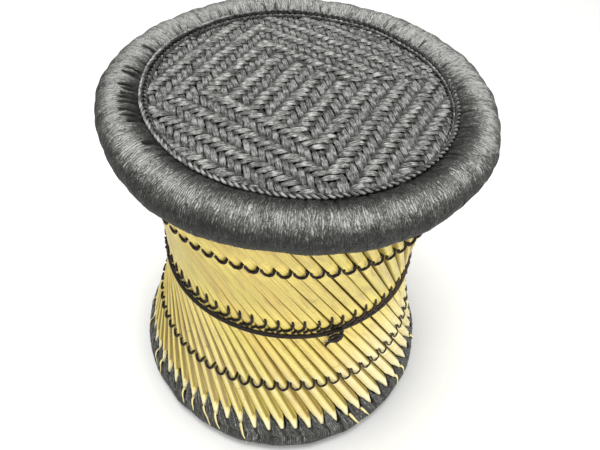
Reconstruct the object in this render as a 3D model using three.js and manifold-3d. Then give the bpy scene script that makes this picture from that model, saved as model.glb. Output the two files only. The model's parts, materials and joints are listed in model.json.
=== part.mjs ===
// A mudda stool: a South Asian cane stool with an hourglass wall and a round woven seat.
//
// Two layers of straight canes lean opposite ways and so draw a hyperboloid. The outer layer is seen,
// and the inner layer crosses behind it. Rows of twine tie the canes, and a cord is wound round the
// waist and knotted. The canes end in two rings, a padded rim under the seat and a thinner one on the
// floor. Each ring is a core of bundled grass in a winding of black cord, and the winding is open in a
// slot where the canes come in. The seat is a mat of twill-woven cord, which turns down over the inner
// side of the rim's core, and two border cords lie over its edge.
// The rim's turns of cord stand in shallow ribs, and the weave's floats in diagonal ridges.
//
// Millimetres, +Z up. The origin is the middle of the footprint, on the floor. The front is -Y.

import * as THREE from "three";
import { mergeVertices } from "three/addons/utils/BufferGeometryUtils.js";
import Module from "manifold-3d";

const wasm = await Module();
wasm.setup();

const degrees = THREE.MathUtils.degToRad;

// Overall sizes
const overallHeight = 423;
const rimDiameter = 400; // outside the wound rim of the seat
const baseDiameter = 382; // outside the wound ring on the floor
const waistDraw = 31; // how far the wall draws in from the mean of its ends, between the outer canes' axes

// Wound rings
const rimWidth = 48;
const rimHeight = 44;
const baseRingWidth = 44;
const baseRingHeight = 44;
const windingThickness = 4;
const ribDepth = 1.2; // of the valleys between the bunches of turns on the rim

// Canes
const outerCaneGroups = 33;
const outerCanesTogether = 2; // canes that touch at the waist and share a mesh
const innerCaneGroups = 11;
const innerCanesTogether = 6;
const caneTouch = 0.32; // how far touching canes press into each other at the waist
const groupGap = 0.8; // between groups there, which with the count sets the canes' width
const tipLength = 21; // of the pointed foot of an outer cane
const outerTopInset = 4; // of the outer canes' tops from the middle of the rim's core

// Cords
const tieCordDiameter = 2.2;
const bandCordDiameter = 3;
const borderCordDiameter = 4;
const innerTieCordDiameter = 2.2;

// Rows of ties
const upperTieDrop = 60; // from the outer canes' tops
const waistTieRise = 13.5; // from the middle of the waist band
const lowerTieRise = 65; // from where the outer canes pass the base ring
const valleySpare = 1.3; // how far a tie stays above the bottom of the valley between two canes

// The cord wound round the waist
const bandHeight = 202;
const bandTurns = 3;
const bandPitchAtKnot = 3.5;
const bandPitchOpposite = 4.6;

// The knot in that cord
const knotBearing = degrees(-68);
const knotWidth = 13;
const knotHeight = 14;
const knotDepth = 8;
const knotTailLength = 14;
const knotTailSpread = 6;
const knotTailDiameter = 2.4;
const tailRootShare = 0.4; // of the tails' spread, where they leave the knot's middle
const tailBendShare = 0.7; // of that spread, at the knot's lower edge

// The seat mat
const matThickness = 6;
const matCrown = 8; // how much the middle of the mat stands above its edge
const matEdgeRound = 5.3; // from the mat's top corner in the rim to the start of its crown

// The weave: a twill in zones, whose weft floats stand over its warp in diagonal ridges
const warpPitch = 5.8; // from one warp strand to the next
const weftPitch = 6.5;
const weaveTurn = degrees(16.5); // of the weft from +X
const ridgeHeight = 1.4;
const ridgeInset = 0.3; // of the ridges under the mat's plain crown
const reliefMargin = 1.5; // of plain mat round the weave
const floatStrands = 3; // that a strand passes over, and then under
const middleZone = [-14, 9]; // sums of a crossing's column and row between which the ridges rise
const sideZoneColumn = -3; // of the upright line beside which the two side zones lie
const leftZoneShift = 4; // strands by which the left zone's ridges are set off

// Clearances
const clearance = 0.35;
const layerClearance = 0.5; // between the two layers of canes

// Faceting
const ringSegments = 36;
const outerCaneSides = 8;
const innerCaneSides = 6;
const tieSides = 4;
const bandSides = 6;
const bandStepsPerTurn = 24;
const flatsOut = 1 / 2; // turn of a cane's section, in its sides
const cornersAside = 0;
const settlingPasses = 12; // for the sizes of the walls, which follow each other
const borderSides = 6;
const coreSides = 8;
const knotSides = 10;
const knotRows = 6;
const matSteps = 4;
const tuckSteps = 2;
const rimColumns = 3; // of the rim's winding, to each segment of a ring

// Angles round the section of a ring, from its outer side over its top
const rimWindingFrom = degrees(-76);
const rimWindingTo = degrees(154);
const matTuckTo = degrees(203);
const baseWindingFrom = degrees(125);
const baseWindingTo = degrees(435);
const floorFlatFrom = degrees(261);
const floorFlatTo = degrees(279);
const rimStops = [rimWindingFrom, 0, degrees(90), rimWindingTo];
const baseStops = [baseWindingFrom, degrees(180), floorFlatFrom, floorFlatTo, degrees(360), baseWindingTo];
const windingFacet = degrees(31); // at most, round a winding's outside
const outerBorderAt = degrees(139);
const innerBorderAt = degrees(151);
const footRestAt = degrees(74); // where an outer cane comes nearest the base ring
const tipEndAt = degrees(42); // where its pointed foot ends on the ring's shoulder

const caneMaterial = new THREE.MeshStandardMaterial({ color: 0xe3cd83, roughness: 0.45, metalness: 0 });
const innerCaneMaterial = new THREE.MeshStandardMaterial({ color: 0xc9b06a, roughness: 0.55, metalness: 0 });
const blackCordMaterial = new THREE.MeshStandardMaterial({ color: 0x4a4a48, roughness: 0.5, metalness: 0 });
const matMaterial = new THREE.MeshStandardMaterial({ color: 0x6a6a68, roughness: 0.55, metalness: 0 });
const twineMaterial = new THREE.MeshStandardMaterial({ color: 0x2a2022, roughness: 0.7, metalness: 0 });
const grassMaterial = new THREE.MeshStandardMaterial({ color: 0x9c8750, roughness: 0.9, metalness: 0 });

const stool = new THREE.Group();

function addPiece(name, geometry, material) {
  const mesh = new THREE.Mesh(geometry, material);
  mesh.name = name;
  stool.add(mesh);
  return mesh;
}

// Solids for joining

function solidOf(geometry) {
  const bare = geometry.clone();
  bare.deleteAttribute("normal");
  bare.deleteAttribute("uv");
  const merged = mergeVertices(bare);
  return new wasm.Manifold(
    new wasm.Mesh({
      numProp: 3,
      vertProperties: new Float32Array(merged.attributes.position.array),
      triVerts: new Uint32Array(merged.index.array),
    }),
  );
}

function geometryOf(solid) {
  const { vertProperties, triVerts } = solid.getMesh();
  const geometry = new THREE.BufferGeometry();
  geometry.setAttribute("position", new THREE.BufferAttribute(vertProperties, 3));
  geometry.setIndex(new THREE.BufferAttribute(triVerts, 1));
  geometry.computeVertexNormals();
  return geometry;
}

function joined(geometries) {
  return geometryOf(geometries.map(solidOf).reduce((whole, next) => whole.add(next)));
}

// Skins a row of sections. A section of one point closes that end to a tip, any other end gets a flat cap,
// and a closed row joins its last section to its first.
function skin(sections, closed = false) {
  const positions = sections.flat().flatMap((p) => [p.x, p.y, p.z]);
  const starts = [];
  sections.reduce((at, section) => (starts.push(at), at + section.length), 0);
  const faces = [];
  const bands = closed ? sections.length : sections.length - 1;
  for (let i = 0; i < bands; i++) {
    const next = (i + 1) % sections.length;
    const [a, b] = [starts[i], starts[next]];
    const [na, nb] = [sections[i].length, sections[next].length];
    const sides = Math.max(na, nb);
    for (let k = 0; k < sides; k++) {
      const l = (k + 1) % sides;
      if (nb > 1) faces.push(a + (k % na), b + l, b + k);
      if (na > 1) faces.push(a + k, a + l, b + (l % nb));
    }
  }
  if (!closed) {
    const last = sections.length - 1;
    for (let k = 1; k + 1 < sections[0].length; k++) faces.push(starts[0], starts[0] + k + 1, starts[0] + k);
    for (let k = 1; k + 1 < sections[last].length; k++)
      faces.push(starts[last], starts[last] + k, starts[last] + k + 1);
  }
  const geometry = new THREE.BufferGeometry();
  geometry.setAttribute("position", new THREE.Float32BufferAttribute(positions, 3));
  geometry.setIndex(faces);
  geometry.computeVertexNormals();
  return geometry;
}

// A ring turned from a closed outline of [radius, height] points, anticlockwise.
function turnedRing(outline) {
  const points = [...outline, outline[0]].map(([r, z]) => new THREE.Vector2(r, z));
  return new THREE.LatheGeometry(points, ringSegments).rotateX(Math.PI / 2);
}

// A ring's section: an ellipse by its centre and half sizes, and the point on it at an angle.
function ringSection(centreRadius, centreHeight, halfWidth, halfHeight) {
  return {
    centreRadius,
    centreHeight,
    halfWidth,
    halfHeight,
    at: (angle, out = 0) => [
      centreRadius + (halfWidth + out) * Math.cos(angle),
      centreHeight + (halfHeight + out) * Math.sin(angle),
    ],
  };
}

const spread = (from, to, steps) =>
  Array.from({ length: steps + 1 }, (_, i) => from + ((to - from) * i) / steps);

const arc = (section, from, to, steps, out = 0) =>
  spread(from, to, steps).map((angle) => section.at(angle, out));

const rimSection = ringSection(
  rimDiameter / 2 - rimWidth / 2,
  overallHeight - rimHeight / 2,
  rimWidth / 2,
  rimHeight / 2,
);
const baseSection = ringSection(
  baseDiameter / 2 - baseRingWidth / 2,
  -Math.sin(floorFlatFrom) * (baseRingHeight / 2),
  baseRingWidth / 2,
  baseRingHeight / 2,
);

// Grass cores. Each has flats at the bottom and the top.
const coreFacet = (2 * Math.PI) / coreSides;
const coreInset = -windingThickness - clearance;

function coreCorners(from, to) {
  const first = Math.ceil(from / coreFacet - 1 / 2);
  const last = Math.floor(to / coreFacet - 1 / 2);
  return spread(first, last, last - first).map((i) => (i + 1 / 2) * coreFacet);
}

const coreOutline = (section) => coreCorners(0, 2 * Math.PI).map((angle) => section.at(angle, coreInset));

const rimCoreOutline = coreOutline(rimSection);
const baseCoreOutline = coreOutline(baseSection);

// The height of an outline's underside (side -1) or top (side 1) at a radius, or at its end nearest to it.
function outlineHeight(outline, wanted, side) {
  const radii = outline.map(([r]) => r);
  const radius = THREE.MathUtils.clamp(wanted, Math.min(...radii), Math.max(...radii));
  const crossings = outline.flatMap(([r0, z0], i) => {
    const [r1, z1] = outline[(i + 1) % outline.length];
    const share = (radius - r0) / (r1 - r0);
    return share >= 0 && share <= 1 ? [z0 + share * (z1 - z0)] : [];
  });
  return side < 0 ? Math.min(...crossings) : Math.max(...crossings);
}

// The walls of canes. Each layer is a ruled hyperboloid through a seat at the rim, a seat at the base ring
// and its throat, so its slope and the height of its throat follow from those three.
function caneLayer(throatRadius, top, foot, hand) {
  const topReach = Math.sqrt(top.radius ** 2 - throatRadius ** 2);
  const footReach = Math.sqrt(foot.radius ** 2 - throatRadius ** 2);
  const slope = (topReach + footReach) / (top.height - foot.height);
  const throatHeight = foot.height + footReach / slope;
  const lean = hand * slope;
  const radiusAt = (z) => Math.hypot(throatRadius, slope * (z - throatHeight));
  const flareAt = (z) => Math.atan((slope ** 2 * (z - throatHeight)) / radiusAt(z));
  const along = (bearing) =>
    new THREE.Vector3(-lean * Math.sin(bearing), lean * Math.cos(bearing), 1).normalize();
  const pointAt = (bearing, z) => {
    const run = lean * (z - throatHeight);
    return new THREE.Vector3(
      throatRadius * Math.cos(bearing) - run * Math.sin(bearing),
      throatRadius * Math.sin(bearing) + run * Math.cos(bearing),
      z,
    );
  };
  const outAt = (bearing, z) => {
    const t = along(bearing);
    const out = pointAt(bearing, z).setZ(0).normalize();
    return out.addScaledVector(t, -out.dot(t)).normalize();
  };
  const tilt = Math.atan(slope);
  return { throatRadius, throatHeight, slope, tilt, radiusAt, flareAt, along, pointAt, outAt };
}

// The canes are as wide as the throat leaves room for.
function caneWidth(layer, groups, together) {
  const groupWidth = ((2 * Math.PI * layer.throatRadius) / groups) * Math.cos(layer.tilt);
  return (groupWidth - groupGap + (together - 1) * caneTouch) / together;
}

const cornerRadius = (width, sides) => width / 2 / Math.cos(Math.PI / sides);
const settled = (start, next) => Array.from({ length: settlingPasses }).reduce(next, start);
const coreUnderside = outlineHeight(rimCoreOutline, rimSection.centreRadius, -1);
const outerTopRadius = rimSection.centreRadius - outerTopInset;

// The outer layer passes close over the base ring. Its canes' square ends lie close under the rim's core.
function outerWall({ radius, topHeight }) {
  const [footRadius, footHeight] = baseSection.at(footRestAt, radius + clearance);
  const layer = caneLayer(
    (outerTopRadius + footRadius) / 2 - waistDraw,
    { radius: outerTopRadius, height: topHeight },
    { radius: footRadius, height: footHeight },
    -1,
  );
  const width = caneWidth(layer, outerCaneGroups, outerCanesTogether);
  const settledRadius = cornerRadius(width, outerCaneSides);
  return {
    layer,
    width,
    radius: settledRadius,
    topHeight: coreUnderside - clearance - settledRadius * Math.sin(layer.tilt),
    footRadius,
    footHeight,
  };
}

const outer = settled({ radius: 0, topHeight: coreUnderside }, outerWall);
const outerLayer = outer.layer;
const outerCaneRadius = outer.radius;
const outerTopHeight = outer.topHeight;
const upperTieHeight = outerTopHeight - upperTieDrop;
const waistTieHeight = bandHeight + waistTieRise;
const lowerTieHeight = outer.footHeight + lowerTieRise;

// The inner layer lies against the outer one. Its canes end under the rim's core and over the base's core.
function heightUnderCore(layer, radius, z) {
  const reachOut = radius * Math.cos(layer.flareAt(z));
  const underside = outlineHeight(rimCoreOutline, layer.radiusAt(z) + reachOut, -1);
  return underside - clearance - radius * Math.sin(layer.tilt);
}

function heightOverCore(layer, radius, z) {
  return outlineHeight(baseCoreOutline, layer.radiusAt(z), 1) + clearance + radius * Math.sin(layer.tilt);
}

function innerWall({ radius }) {
  const step = outerCaneRadius + radius + layerClearance;
  const behind = (radiusOut, z) => ({
    radius: radiusOut - step / Math.cos(outerLayer.flareAt(z)),
    height: z,
  });
  const layer = caneLayer(
    outerLayer.throatRadius - step,
    behind(outerTopRadius, outerTopHeight),
    behind(outer.footRadius, outer.footHeight),
    1,
  );
  return { layer, radius: caneWidth(layer, innerCaneGroups, innerCanesTogether) / 2 };
}

const inner = settled({ radius: 0 }, innerWall);
const innerLayer = inner.layer;
const innerCaneRadius = inner.radius;
const innerTopHeight = settled(outerTopHeight, (z) => heightUnderCore(innerLayer, innerCaneRadius, z));
const innerFootHeight = settled(outer.footHeight, (z) => heightOverCore(innerLayer, innerCaneRadius, z));

// Bearings of a layer's canes. Canes of one group touch at the waist, so they stand a little closer.
function caneBearings(layer, groups, together, width) {
  const closePitch = (width - caneTouch) / Math.cos(layer.tilt) / layer.throatRadius;
  return Array.from({ length: groups }, (_, g) =>
    Array.from(
      { length: together },
      (_, i) => (g * 2 * Math.PI) / groups + (i - (together - 1) / 2) * closePitch,
    ),
  );
}

const outerBearings = caneBearings(outerLayer, outerCaneGroups, outerCanesTogether, outer.width);
const innerBearings = caneBearings(innerLayer, innerCaneGroups, innerCanesTogether, 2 * innerCaneRadius);

// A round cane's section, kept unturned along the whole cane so that its sides stay straight.
function caneSection(layer, bearing, z, sides, radius, firstSide) {
  const centre = layer.pointAt(bearing, z);
  const out = layer.outAt(bearing, layer.throatHeight);
  const aside = new THREE.Vector3().crossVectors(out, layer.along(bearing));
  return Array.from({ length: sides }, (_, i) => {
    const turn = ((firstSide + i) * 2 * Math.PI) / sides;
    return centre
      .clone()
      .addScaledVector(aside, radius * Math.cos(turn))
      .addScaledVector(out, radius * Math.sin(turn));
  });
}

// The foot of an outer cane is shaved from behind to a thin point that lies on the base ring's shoulder.
const tipHeight = tipLength * Math.cos(outerLayer.tilt);
const tipEndHeight = baseSection.at(tipEndAt)[1];
const tipStartHeight = tipEndHeight + tipHeight;

function outerCane(bearing) {
  const point = outerLayer
    .pointAt(bearing, tipEndHeight)
    .addScaledVector(outerLayer.outAt(bearing, tipEndHeight), outer.width / 2);
  return skin([
    [point],
    caneSection(outerLayer, bearing, tipStartHeight, outerCaneSides, outerCaneRadius, flatsOut),
    caneSection(outerLayer, bearing, outerTopHeight, outerCaneSides, outerCaneRadius, flatsOut),
  ]);
}

// The inner canes stand in the slot of the base ring, on its core, and end under the rim's core.
function innerCane(bearing) {
  return skin(
    [innerFootHeight, innerTopHeight].map((z) =>
      caneSection(innerLayer, bearing, z, innerCaneSides, innerCaneRadius, cornersAside),
    ),
  );
}

function addCanes(prefix, groups, makeCane, material) {
  groups.forEach((bearings, i) => {
    const name = `${prefix}_${String(i + 1).padStart(2, "0")}`;
    addPiece(name, joined(bearings.map(makeCane)), material);
  });
}

addCanes("outer_canes", outerBearings, outerCane, caneMaterial);
addCanes("inner_canes", innerBearings, innerCane, innerCaneMaterial);

// Ties of twine. Over each outer cane the cord crosses square to the cane, and between two canes it drops
// into the valley, so a row is a ring of scallops.
function cordSection(before, point, after, radius, sides) {
  const forward = after.clone().sub(before).normalize();
  const out = point.clone().setZ(0).normalize();
  out.addScaledVector(forward, -out.dot(forward)).normalize();
  const up = new THREE.Vector3().crossVectors(forward, out);
  return Array.from({ length: sides }, (_, k) => {
    const turn = (k * 2 * Math.PI) / sides;
    return point
      .clone()
      .addScaledVector(out, radius * Math.cos(turn))
      .addScaledVector(up, radius * Math.sin(turn));
  });
}

function closedCord(points, diameter, sides) {
  const n = points.length;
  return skin(
    points.map((point, i) =>
      cordSection(points[(i + n - 1) % n], point, points[(i + 1) % n], diameter / 2, sides),
    ),
    true,
  );
}

function tieRow(height) {
  const reach = outerCaneRadius + tieCordDiameter / 2 + 2 * clearance;
  const widest = outerBearings[1][0] - outerBearings[0][outerCanesTogether - 1];
  const apart = outerLayer.pointAt(widest, height).sub(outerLayer.pointAt(0, height));
  const run = outerLayer.along(0);
  const halfPitch = apart.addScaledVector(run, -apart.dot(run)).length() / 2;
  const valley = Math.sqrt(Math.max(reach ** 2 - halfPitch ** 2, 0)) + valleySpare;
  const fromAxis = Math.hypot(halfPitch, valley);
  const crest = reach / Math.sin(Math.atan2(valley, halfPitch) + Math.acos(reach / fromAxis));
  const bearings = outerBearings.flat();
  const at = (bearing, away) =>
    outerLayer.pointAt(bearing, height).addScaledVector(outerLayer.outAt(bearing, height), away);
  const points = bearings.flatMap((bearing, i) => {
    const next = i + 1 < bearings.length ? bearings[i + 1] : bearings[0] + 2 * Math.PI;
    return [at(bearing, crest), at((bearing + next) / 2, valley)];
  });
  return closedCord(points, tieCordDiameter, tieSides);
}

addPiece("upper_tie_cord", tieRow(upperTieHeight), twineMaterial);
addPiece("waist_tie_cord", tieRow(waistTieHeight), twineMaterial);
addPiece("lower_tie_cord", tieRow(lowerTieHeight), twineMaterial);

// How far a layer's canes stand out from the surface of their axes, measured level. Their sides turn away
// from the level line as they leave the throat.
function caneSupport(layer, radius, sides, z) {
  const run = layer.slope * Math.cos(layer.tilt) * Math.abs(z - layer.throatHeight);
  const turn = Math.atan(run / layer.throatRadius);
  return (radius * Math.cos(Math.PI / sides - turn)) / Math.cos(layer.flareAt(z));
}

const wallRadiusAt = (z) =>
  outerLayer.radiusAt(z) + caneSupport(outerLayer, outerCaneRadius, outerCaneSides, z);
const wallInsideAt = (z) =>
  innerLayer.radiusAt(z) - caneSupport(innerLayer, innerCaneRadius, innerCaneSides, z);

// The inner strand of each row runs plain round the inside of the wall.
function innerTie(height) {
  const radius = wallInsideAt(height) - innerTieCordDiameter / 2 - clearance;
  const cord = new THREE.TorusGeometry(radius, innerTieCordDiameter / 2, tieSides, ringSegments);
  return cord.translate(0, 0, height);
}

addPiece("upper_inner_tie_cord", innerTie(upperTieHeight), twineMaterial);
addPiece("waist_inner_tie_cord", innerTie(waistTieHeight), twineMaterial);
addPiece("lower_inner_tie_cord", innerTie(lowerTieHeight), twineMaterial);

// The waist band: one cord wound round the throat, closer at the knot than opposite it. Both its ends
// lie under the knot.
const bandSag = wallRadiusAt(bandHeight) * (1 - Math.cos(Math.PI / bandStepsPerTurn));

function bandPoint(turns) {
  const bearing = knotBearing + turns * 2 * Math.PI;
  const openShare = (1 - Math.cos(turns * 2 * Math.PI)) / 2;
  const pitch = bandPitchAtKnot + (bandPitchOpposite - bandPitchAtKnot) * openShare;
  const z = bandHeight - (turns - bandTurns / 2) * pitch;
  const radius = wallRadiusAt(z) + bandCordDiameter / 2 + clearance + bandSag;
  return new THREE.Vector3(radius * Math.cos(bearing), radius * Math.sin(bearing), z);
}

const bandPoints = Array.from({ length: bandTurns * bandStepsPerTurn + 1 }, (_, i) =>
  bandPoint(i / bandStepsPerTurn),
);

function openCord(points, diameter, sides) {
  const last = points.length - 1;
  return skin(
    points.map((point, i) =>
      cordSection(points[Math.max(i - 1, 0)], point, points[Math.min(i + 1, last)], diameter / 2, sides),
    ),
  );
}

function leastGap(points, diameter, apart) {
  let least = Infinity;
  points.forEach((p, i) => {
    for (let j = i + apart; j < points.length; j++) least = Math.min(least, p.distanceTo(points[j]));
  });
  return least - diameter;
}

const bandGap = leastGap(bandPoints, bandCordDiameter, bandStepsPerTurn / 2);
console.log(`waist band cord, least gap to itself: ${bandGap.toFixed(2)} mm`);
addPiece("waist_band_cord", openCord(bandPoints, bandCordDiameter, bandSides), twineMaterial);

// The knot is a lump of the same cord over the band, with two tails that hang on the wall below it.
const knotAway = bandCordDiameter + bandSag + 2 * clearance;

function onWall(aside, z, away) {
  const radius = wallRadiusAt(z) + away;
  const bearing = knotBearing + aside / radius;
  return new THREE.Vector3(radius * Math.cos(bearing), radius * Math.sin(bearing), z);
}

function knotLump() {
  const middle = onWall(0, bandHeight, knotAway + knotDepth / 2);
  return new THREE.SphereGeometry(1, knotSides, knotRows)
    .rotateX(Math.PI / 2)
    .scale(knotDepth / 2, knotWidth / 2, knotHeight / 2)
    .rotateZ(knotBearing)
    .translate(middle.x, middle.y, middle.z);
}

function knotTail(side) {
  const bottom = bandHeight - knotHeight / 2;
  return openCord(
    [
      onWall(side * knotTailSpread * tailRootShare, bandHeight, knotAway + knotDepth / 2),
      onWall(side * knotTailSpread * tailBendShare, bottom, knotAway + knotTailDiameter / 2),
      onWall(side * knotTailSpread, bottom - knotTailLength, knotTailDiameter / 2 + 2 * clearance),
    ],
    knotTailDiameter,
    bandSides,
  );
}

addPiece("waist_knot", joined([knotLump(), knotTail(-1), knotTail(1)]), twineMaterial);

// Rings of the rim and the base. A winding's inner outline turns where the core inside it has its corners.
function anglesThrough(stops) {
  return stops.slice(1).reduce(
    (angles, stop, i) => [
      ...angles,
      ...spread(stops[i], stop, Math.ceil((stop - stops[i]) / windingFacet)).slice(1),
    ],
    [stops[0]],
  );
}

function windingOutline(section, stops) {
  const [from, to] = [stops[0], stops[stops.length - 1]];
  const corners = coreCorners(from, to);
  const inner = [from, ...corners, to].reverse();
  return [
    ...anglesThrough(stops).map((angle) => section.at(angle)),
    ...inner.map((angle) => section.at(angle, -windingThickness)),
  ];
}

// Shares of the radius at which a facet of a ring lies between its corners.
const facetShare = (bearing) => {
  const corner = (2 * Math.PI) / ringSegments;
  return Math.cos(corner / 2) / Math.cos((bearing % corner) - corner / 2);
};

// A winding whose turns bunch in ribs: every second column lies in a valley. Its two edges stay plain.
function ribbedRing(section, stops) {
  const columns = ringSegments * rimColumns;
  const outer = anglesThrough(stops);
  const lastOuter = outer.length - 1;
  const plain = windingOutline(section, stops);
  const sections = spread(0, columns - 1, columns - 1).map((column) => {
    const bearing = (column * 2 * Math.PI) / columns;
    const depth = column % 2 ? ribDepth : 0;
    const outline = plain.map((point, i) =>
      i > 0 && i < lastOuter ? section.at(outer[i], -depth) : point,
    );
    const facet = facetShare(bearing);
    return outline.map(
      ([r, z]) => new THREE.Vector3(r * facet * Math.cos(bearing), -r * facet * Math.sin(bearing), z),
    );
  });
  return skin(sections, true);
}

addPiece("rim_winding", ribbedRing(rimSection, rimStops), blackCordMaterial);
addPiece("rim_grass_core", turnedRing(rimCoreOutline), grassMaterial);
addPiece("base_winding", turnedRing(windingOutline(baseSection, baseStops)), blackCordMaterial);
addPiece("base_grass_core", turnedRing(baseCoreOutline), grassMaterial);

// The seat mat: a crowned disc whose edge turns down over the inner side of the rim's core
const matTuckFrom = rimWindingTo + clearance / rimSection.halfWidth;
const [matCornerRadius, matEdgeHeight] = rimSection.at(matTuckFrom);
const matEdgeRadius = matCornerRadius - matEdgeRound;
const matTopAt = (r) => matEdgeHeight + matCrown * (1 - (r / matEdgeRadius) ** 2);
const matUnderAngle =
  Math.PI - Math.asin((matEdgeHeight - matThickness - rimSection.centreHeight) / rimSection.halfHeight);

function matOutline() {
  const radii = spread(0, matEdgeRadius, matSteps);
  const under = radii.map((r) => [r, matTopAt(r) - matThickness]);
  const top = radii.map((r) => [r, matTopAt(r)]).reverse();
  return [
    ...under,
    ...arc(rimSection, matUnderAngle, matTuckTo, tuckSteps),
    ...arc(rimSection, matTuckTo, matTuckFrom, tuckSteps, -windingThickness),
    rimSection.at(matTuckFrom),
    ...top,
  ];
}

function turnedDisc(outline) {
  const points = outline.map(([r, z]) => new THREE.Vector2(r, z));
  return new THREE.LatheGeometry(points, ringSegments).rotateX(Math.PI / 2);
}

// Whether the weft passes over at a crossing, counted from the middle. The floats step aside by one strand
// a row, so they draw ridges. Two zones at the sides mirror the rising ridges of the rest.
const inFloat = (steps) => THREE.MathUtils.euclideanModulo(steps, 2 * floatStrands) < floatStrands;

function weftOver(column, row) {
  const sum = column + row;
  const inMiddle = sum > middleZone[0] && sum < middleZone[1];
  if (!inMiddle && row > 0 && column > sideZoneColumn) return inFloat(-sum);
  if (!inMiddle && row <= 0 && column <= sideZoneColumn + 1) return inFloat(leftZoneShift + sum);
  return inFloat(column - row);
}

// The air over the weave, on a net with a corner in the middle of each float.
function airOverWeave() {
  const reach = Math.ceil(matEdgeRadius / Math.min(warpPitch, weftPitch) / floatStrands) + 1;
  const steps = spread(-reach, reach, 2 * reach);
  const airTop = matEdgeHeight + matCrown + matThickness;
  const crossings = steps.map((a) => steps.map((b) => [a * floatStrands + 1, b * floatStrands]));
  const over = crossings.map((line) => line.map(([column, row]) => weftOver(column, row)));
  const corners = crossings.map((line, a) =>
    line.map(([column, row], b) => {
      const [x, y] = [column * warpPitch, row * weftPitch];
      const z = matTopAt(Math.hypot(x, y)) - ridgeInset - (over[a][b] ? 0 : ridgeHeight);
      return new THREE.Vector3(x, y, z).applyAxisAngle(new THREE.Vector3(0, 0, 1), weaveTurn);
    }),
  );
  const count = steps.length;
  const last = count - 1;
  const lift = count * count; // from a corner's number to that of the one above it
  const low = (a, b) => a * count + b;
  const faces = [];
  for (let a = 0; a < last; a++) {
    for (let b = 0; b < last; b++) {
      const [p, q, r, s] = [low(a, b), low(a + 1, b), low(a + 1, b + 1), low(a, b + 1)];
      if (over[a][b] === over[a + 1][b + 1]) faces.push(p, r, q, p, s, r);
      else faces.push(p, s, q, q, s, r);
      faces.push(p + lift, q + lift, r + lift, p + lift, r + lift, s + lift);
    }
  }
  const wall = (from, to) => faces.push(from, to, to + lift, from, to + lift, from + lift);
  for (let k = 0; k < last; k++) {
    wall(low(k, 0), low(k + 1, 0));
    wall(low(last, k), low(last, k + 1));
    wall(low(k + 1, last), low(k, last));
    wall(low(0, k + 1), low(0, k));
  }
  const lowest = corners.flat();
  const highest = lowest.map((p) => p.clone().setZ(airTop));
  const geometry = new THREE.BufferGeometry();
  geometry.setAttribute(
    "position",
    new THREE.Float32BufferAttribute([...lowest, ...highest].flatMap((p) => [p.x, p.y, p.z]), 3),
  );
  geometry.setIndex(faces);
  return geometry;
}

function wovenMat() {
  const radius = matEdgeRadius - reliefMargin;
  const height = matCrown + 2 * matThickness;
  const within = new THREE.CylinderGeometry(radius, radius, height, ringSegments)
    .rotateX(Math.PI / 2)
    .translate(0, 0, matEdgeHeight + height / 2 - matThickness);
  const air = solidOf(airOverWeave()).intersect(solidOf(within));
  return geometryOf(solidOf(turnedDisc(matOutline())).subtract(air));
}

addPiece("seat_mat", wovenMat(), matMaterial);

// Border cords over the edge of the mat
function borderCord(angle) {
  const [radius, height] = rimSection.at(angle, borderCordDiameter / 2 + clearance);
  const cord = new THREE.TorusGeometry(radius, borderCordDiameter / 2, borderSides, ringSegments);
  return cord.translate(0, 0, height);
}

addPiece("outer_border_cord", borderCord(outerBorderAt), blackCordMaterial);
addPiece("inner_border_cord", borderCord(innerBorderAt), blackCordMaterial);

export default stool;
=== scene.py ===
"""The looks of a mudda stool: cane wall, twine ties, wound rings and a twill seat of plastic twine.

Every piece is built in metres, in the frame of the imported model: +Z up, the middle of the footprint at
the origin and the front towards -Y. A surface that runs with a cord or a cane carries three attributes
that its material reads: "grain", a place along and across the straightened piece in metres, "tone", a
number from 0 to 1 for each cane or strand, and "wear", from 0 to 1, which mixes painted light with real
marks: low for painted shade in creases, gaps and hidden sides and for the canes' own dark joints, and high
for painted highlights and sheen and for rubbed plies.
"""

import json
import math

import bpy
import numpy as np
from bpy.props import FloatProperty, FloatVectorProperty, IntProperty, PointerProperty
from mathutils import Matrix, Vector

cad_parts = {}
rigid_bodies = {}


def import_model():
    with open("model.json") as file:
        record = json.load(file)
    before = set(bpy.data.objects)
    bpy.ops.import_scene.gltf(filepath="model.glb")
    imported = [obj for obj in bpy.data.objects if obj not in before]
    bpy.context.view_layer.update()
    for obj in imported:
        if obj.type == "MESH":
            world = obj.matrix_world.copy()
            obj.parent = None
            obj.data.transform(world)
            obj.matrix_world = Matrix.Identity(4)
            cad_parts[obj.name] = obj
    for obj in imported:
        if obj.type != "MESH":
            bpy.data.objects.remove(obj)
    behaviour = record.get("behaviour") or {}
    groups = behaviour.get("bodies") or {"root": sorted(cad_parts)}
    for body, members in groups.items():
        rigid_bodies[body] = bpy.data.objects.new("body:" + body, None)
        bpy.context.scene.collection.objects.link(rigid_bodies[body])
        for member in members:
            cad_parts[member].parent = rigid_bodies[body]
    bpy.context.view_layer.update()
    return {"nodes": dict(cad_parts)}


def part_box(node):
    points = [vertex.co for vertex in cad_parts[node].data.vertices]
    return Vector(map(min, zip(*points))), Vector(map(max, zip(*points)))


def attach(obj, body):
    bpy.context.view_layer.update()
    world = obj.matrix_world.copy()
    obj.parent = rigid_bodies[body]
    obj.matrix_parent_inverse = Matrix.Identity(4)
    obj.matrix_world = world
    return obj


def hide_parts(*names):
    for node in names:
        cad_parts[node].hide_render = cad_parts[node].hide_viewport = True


bl_info = {
    "name": "Mudda Stool",
    "version": (1, 0, 0),
    "blender": (4, 5, 0),
    "location": "View3D > Sidebar > Stool",
    "description": "Builds a cane stool with a woven seat around its packed model",
    "category": "Object",
}

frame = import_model()

MM = 0.001
TURN = 2 * math.pi
# Takes the height out of a place, which leaves the direction straight out from the stool's middle.
LEVEL = np.array([1, 1, 0])
CANES = 66
# The canes' section is a superellipse of this power, because the photographed canes are flatter than round.
SQUARENESS = 4.4

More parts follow.
